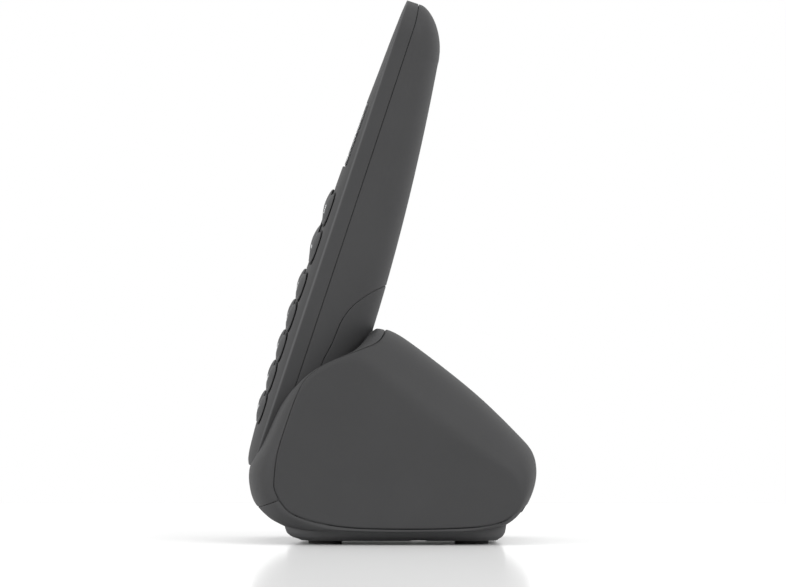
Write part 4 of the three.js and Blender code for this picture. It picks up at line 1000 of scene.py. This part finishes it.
def feet():
    """Ribbed rubber discs that fill their nodes' boxes."""
    corners = [(AXIS, FOOT_HEIGHT), (FOOT_RADIUS, FOOT_HEIGHT), (FOOT_RADIUS, 0)]
    for outer in FOOT_GROOVES:
        inner = outer - GROOVE_WIDTH
        corners += [(outer, 0), (outer, GROOVE_DEPTH), (inner, GROOVE_DEPTH), (inner, 0)]
    pad = turned(rounded([*corners, (AXIS, 0)], FOOT_ROUND, 5)[::-1])
    for x, y in foot_places():
        name = f"foot_{'front' if y < 0 else 'rear'}_{'left' if x < 0 else 'right'}"
        make_piece(name + "_pad", *pad, name, "foot_rubber", "base", Matrix.Translation((x, y, 0)))


def screws():
    """Pan heads and their shafts."""
    head, seat, length, shaft = BASE_SCREW_HEAD, 3, 15, 1.4
    corners = [
        (AXIS, -1.6), (head * 0.7, -1.5), (head, -0.9), (head, 0),
        (shaft, 0), (shaft, length - 1), (AXIS, length),
    ]
    screw = turned(rounded(corners, 0.35, 5), 48)
    for side, place in BASE_SCREWS.items():
        stood = Matrix.Translation((*place, seat))
        make_piece("tray_screw_" + side, *screw, "base_screw_" + side, "steel", "base", stood)


def page_button():
    """A push button whose face lies flush in the base's front, on its stem."""
    def field(points):
        cap = -holes(points, FROM_FRONT, [PAGE_BUTTON], PAGE_BUTTON_RADIUS)
        return np.where(points[:, 1] < 0, cap, -np.inf)

    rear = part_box("page_button")[1][1] / MM
    stood = Matrix.Translation((PAGE_BUTTON[0], rear, PAGE_BUTTON[1])) @ Matrix.Rotation(math.pi / 2, 4, "X")
    corners = [(AXIS, 0), (STEM_RADIUS, 0), (STEM_RADIUS, STEM_LENGTH), (AXIS, STEM_LENGTH)]
    for name, body, placed in (
        ("page_button_cap", cut_shell(*base_surface(), field, BUTTON_LIP, BUTTON_WALL, BUTTON_MARGIN), None),
        ("page_button_stem", turned(rounded(corners, 0.3), 48), stood),
    ):
        make_piece(name, *body, "page_button", "key_plastic", "page_button", placed)


# -------- legends on the keys
STROKES = {  # generic symbols as open strokes, in hundredths of a legend's height
    "key_talk": [[(-42, 20), (-36, -10), (-10, -36), (20, -42)]],
    "key_end": [[(-46, -10), (-25, 14), (0, 20), (25, 14), (46, -10)]],
    "key_menu": [[(-40, 28), (40, 28)], [(-40, 0), (40, 0)], [(-40, -28), (40, -28)]],
    "key_directory": [
        [(-34, -42), (-34, 42), (34, 42), (34, -42), (-34, -42)], [(-12, 16), (16, 16)],
        [(-12, -8), (16, -8)],
    ],
    "key_star": [[(0, -40), (0, 40)], [(-35, -20), (35, 20)], [(-35, 20), (35, -20)]],
    "key_hash": [
        [(-16, -40), (-8, 40)], [(12, -40), (20, 40)], [(-38, 16), (40, 16)], [(-40, -14), (38, -14)],
    ],
    "key_recall": [[(36, -30), (36, 10), (20, 28), (-36, 28)], [(-16, 46), (-38, 28), (-16, 10)]],
    "key_intercom": [[(-40, -30), (-40, 10), (0, 42), (40, 10), (40, -30), (-40, -30)]],
    "key_mute": [
        [(-14, 0), (-14, 40), (14, 40), (14, 0), (-14, 0)], [(0, -18), (0, -42)], [(-40, -40), (40, 42)],
    ],
}
DIGITS = {  # plain strokes, in the same unit
    "1": [[(-12, 26), (6, 42), (6, -42)]],
    "2": [[(-22, 26), (-10, 40), (10, 40), (22, 26), (20, 8), (-24, -42), (25, -42)]],
    "3": [
        [(-22, 30), (-8, 42), (12, 40), (22, 22), (12, 4), (-4, 2)],
        [(12, 4), (24, -14), (18, -36), (0, -43), (-24, -32)],
    ],
    "4": [[(12, -42), (12, 42), (-26, -16), (27, -16)]],
    "5": [[(22, 42), (-18, 42), (-22, 4), (2, 10), (20, 0), (24, -20), (12, -40), (-10, -43), (-24, -32)]],
    "6": [[
        (18, 38), (0, 40), (-18, 20), (-24, -12), (-14, -38), (6, -43), (22, -28), (22, -6), (6, 6),
        (-14, 2), (-23, -12),
    ]],
    "7": [[(-24, 42), (24, 42), (2, 0), (-8, -42)]],
    "8": [[
        (0, 2), (-18, 14), (-18, 32), (0, 42), (18, 32), (18, 14), (0, 2), (-22, -12), (-22, -32),
        (0, -43), (22, -32), (22, -12), (0, 2),
    ]],
    "9": [[
        (-18, -38), (0, -42), (18, -20), (24, 12), (14, 38), (-6, 43), (-22, 28), (-22, 6), (-6, -6),
        (14, 0), (23, 12),
    ]],
    "0": [[(0, 43), (-18, 32), (-24, 0), (-18, -32), (0, -43), (18, -32), (24, 0), (18, 32), (0, 43)]],
}
LEGEND_HEIGHT, STROKE_WIDTH, LEGEND_RISE, LEGEND_DROP = 2.8, 0.38, 0.02, 0.2


def stroke_ribbon(points):
    """Points over a ribbon along a smoothed stroke: an edge, the middle and the other edge."""
    points = np.array(points) / 100 * LEGEND_HEIGHT
    steps = np.concatenate([[0], np.cumsum(np.linalg.norm(np.diff(points, axis=0), axis=1))])
    along = np.linspace(0, steps[-1], max(int(steps[-1] / 0.22), 3))
    line = np.column_stack([np.interp(along, steps, values) for values in points.T])
    if len(points) > 3:
        line[1:-1] = (line[:-2] + 2 * line[1:-1] + line[2:]) / 4
    ahead = np.gradient(line, axis=0)
    ahead /= np.linalg.norm(ahead, axis=1)[:, None]
    aside = np.column_stack([-ahead[:, 1], ahead[:, 0]]) * STROKE_WIDTH / 2
    return np.stack([line + aside, line, line - aside], axis=1)


def legend(name):
    """The printed symbol of a key, laid on the key's dome."""
    strokes = DIGITS.get(name[4:], STROKES.get(name))
    x, at = KEYS[name][:2]
    vertices, faces = [], []
    for stroke in strokes:
        ribbon = stroke_ribbon(stroke).reshape(-1, 2) + (x, at - LEGEND_DROP)
        lift = key_height(name, ribbon[:, 0], ribbon[:, 1]) + LEGEND_RISE
        start = len(vertices)
        cells = grid_faces(len(ribbon) // 3, 3, False)
        faces += [tuple(i + start for i in face) for face in cells]
        vertices += [(u, -h, v) for (u, v), h in zip(ribbon, lift)]
    make_piece(name + "_legend", vertices, faces, None, "key_plastic", name, HANDSET, "legend_ink")


# -------- carried-over CAD nodes
def finish_node(name, material, edge):
    """Gives a CAD node its material, and rounds its edges by a bevel in mm."""
    node = nodes[name]
    node.data.materials.clear()
    node.data.materials.append(material)
    if edge:
        bevel = node.modifiers.new("edges", "BEVEL")
        bevel.width = edge * MM
        bevel.segments = 3
        bevel.angle_limit = math.radians(35)
        bevel.harden_normals = True
    node.data.shade_smooth()


# -------- display window
LENS_CORNER, LENS_EDGE, LENS_THICKNESS = 1.4, 0.3, 1.4
LENS_FACE_LOW, LENS_FACE_HIGH = 2.3, 1.75  # its face over the crease plane, at its ends
LENS_SIZE = np.array([LENS_HALF, (LENS_HIGH - LENS_LOW) / 2])
PRINT_OUTER, PRINT_INNER = (LENS_SIZE - 0.05, 1.2), (np.array([14.2, 7.9]), 0.8)  # half sizes, corners
PRINT_BACK, PRINT_FRONT = 0.08, 0.03  # behind the window


def lens_ring(half, corner, depth):
    """A round-cornered ring at a depth under the window's sloping face."""
    outline = rounded_rectangle(-half, half, corner)
    at = outline[:, 1] + (LENS_LOW + LENS_HIGH) / 2
    face = np.interp(at, (LENS_LOW, LENS_HIGH), (LENS_FACE_LOW, LENS_FACE_HIGH))
    return np.column_stack([outline[:, 0], depth - face, at])


def display_window():
    """The clear window with a rounded rim, and the black frame printed behind it."""
    levels = [(0, LENS_THICKNESS)]
    for turn in np.radians(np.linspace(0, 90, 6)):
        levels.append((LENS_EDGE * (1 - math.cos(turn)), LENS_EDGE * (1 - math.sin(turn))))
    levels += [(LENS_EDGE + further, 0) for further in (0.1, 0.3)]  # these keep its face flat
    rings = [lens_ring(LENS_SIZE - inset, LENS_CORNER - inset, depth) for inset, depth in levels]
    window = make_piece("lens", *body_of(rings), "display_lens", "clear_lens", "handset", HANDSET)
    window.data.set_sharp_from_angle(angle=math.radians(30))

    rims = [
        lens_ring(*size, LENS_THICKNESS + depth) for size, depth in (
            (PRINT_OUTER, PRINT_FRONT), (PRINT_OUTER, PRINT_BACK),
            (PRINT_INNER, PRINT_BACK), (PRINT_INNER, PRINT_FRONT),
        )
    ]
    points = np.vstack(rims)
    faces = [tuple(i % len(points) for i in face) for face in grid_faces(5, len(rims[0]), True)]
    make_piece("lens_print", points, faces, None, "black_plastic", "handset", HANDSET, "print_black")


# -------- the object
handset_casing()
for name in KEYS:
    make_key(name)
    if name != "key_navigation":
        legend(name)
display_window()
base_casing()
plinth()
feet()
screws()
page_button()

BEVEL, BEVELS = 0.15, {"circuit_board": 0, "steel": 0.1, "cell_sleeve": 0}  # mm, by slot
for entry in frame["record"]["subparts"]:
    slot = entry["material_slot"]
    finish_node(entry["node"], finishes[slot], BEVELS.get(slot, BEVEL))


# -------- camera, floor and light
VIEW_WIDTH, LENS_MM, SENSOR_MM = 0.24366, 300, 36
AIM = Vector((0, 0.00014, 0.0767))
LIT = Vector((0, 0, 0.06))
FLOOR = [(-350, -500), (900, -500), (900, 500), (-350, 500)]  # its corners, mm


def studio():
    """White surroundings, a pale floor, and the camera on the phone's side."""
    scene = bpy.context.scene
    scene.view_settings.view_transform = "Standard"
    scene.world = bpy.data.worlds.new("studio")
    scene.world.use_nodes = True
    background = scene.world.node_tree.nodes["Background"]
    background.inputs["Color"].default_value = (1, 1, 1, 1)
    background.inputs["Strength"].default_value = 1

    camera = bpy.data.cameras.new("camera")
    camera.lens = LENS_MM
    camera.sensor_width = SENSOR_MM
    camera.clip_end = 50
    stand = bpy.data.objects.new("camera", camera)
    stand.location = AIM + Vector((VIEW_WIDTH * LENS_MM / SENSOR_MM, 0, 0))
    stand.rotation_euler = (math.pi / 2, 0, math.pi / 2)
    scene.collection.objects.link(stand)
    scene.camera = stand

    make_object("floor", [(*corner, 0) for corner in FLOOR], [(0, 1, 2, 3)], floor_material())


def softbox(name, place, size, power):
    """A soft light on the middle of the phone."""
    light = bpy.data.lights.new(name, "AREA")
    light.shape = "RECTANGLE"
    light.size, light.size_y = size
    light.energy = power
    lamp = bpy.data.objects.new(name, light)
    lamp.location = place
    lamp.rotation_euler = (LIT - Vector(place)).to_track_quat("-Z", "Y").to_euler()
    bpy.context.scene.collection.objects.link(lamp)


studio()
softbox("top", (0.1, 0, 1.1), (1, 0.8), 3)
softbox("key", (0.85, 0.6, 0.65), (0.6, 0.6), 9)
softbox("front", (0.35, -1.05, 0.4), (0.5, 0.5), 6)
softbox("rear", (0, 0.8, 0.8), (0.5, 0.5), 2)
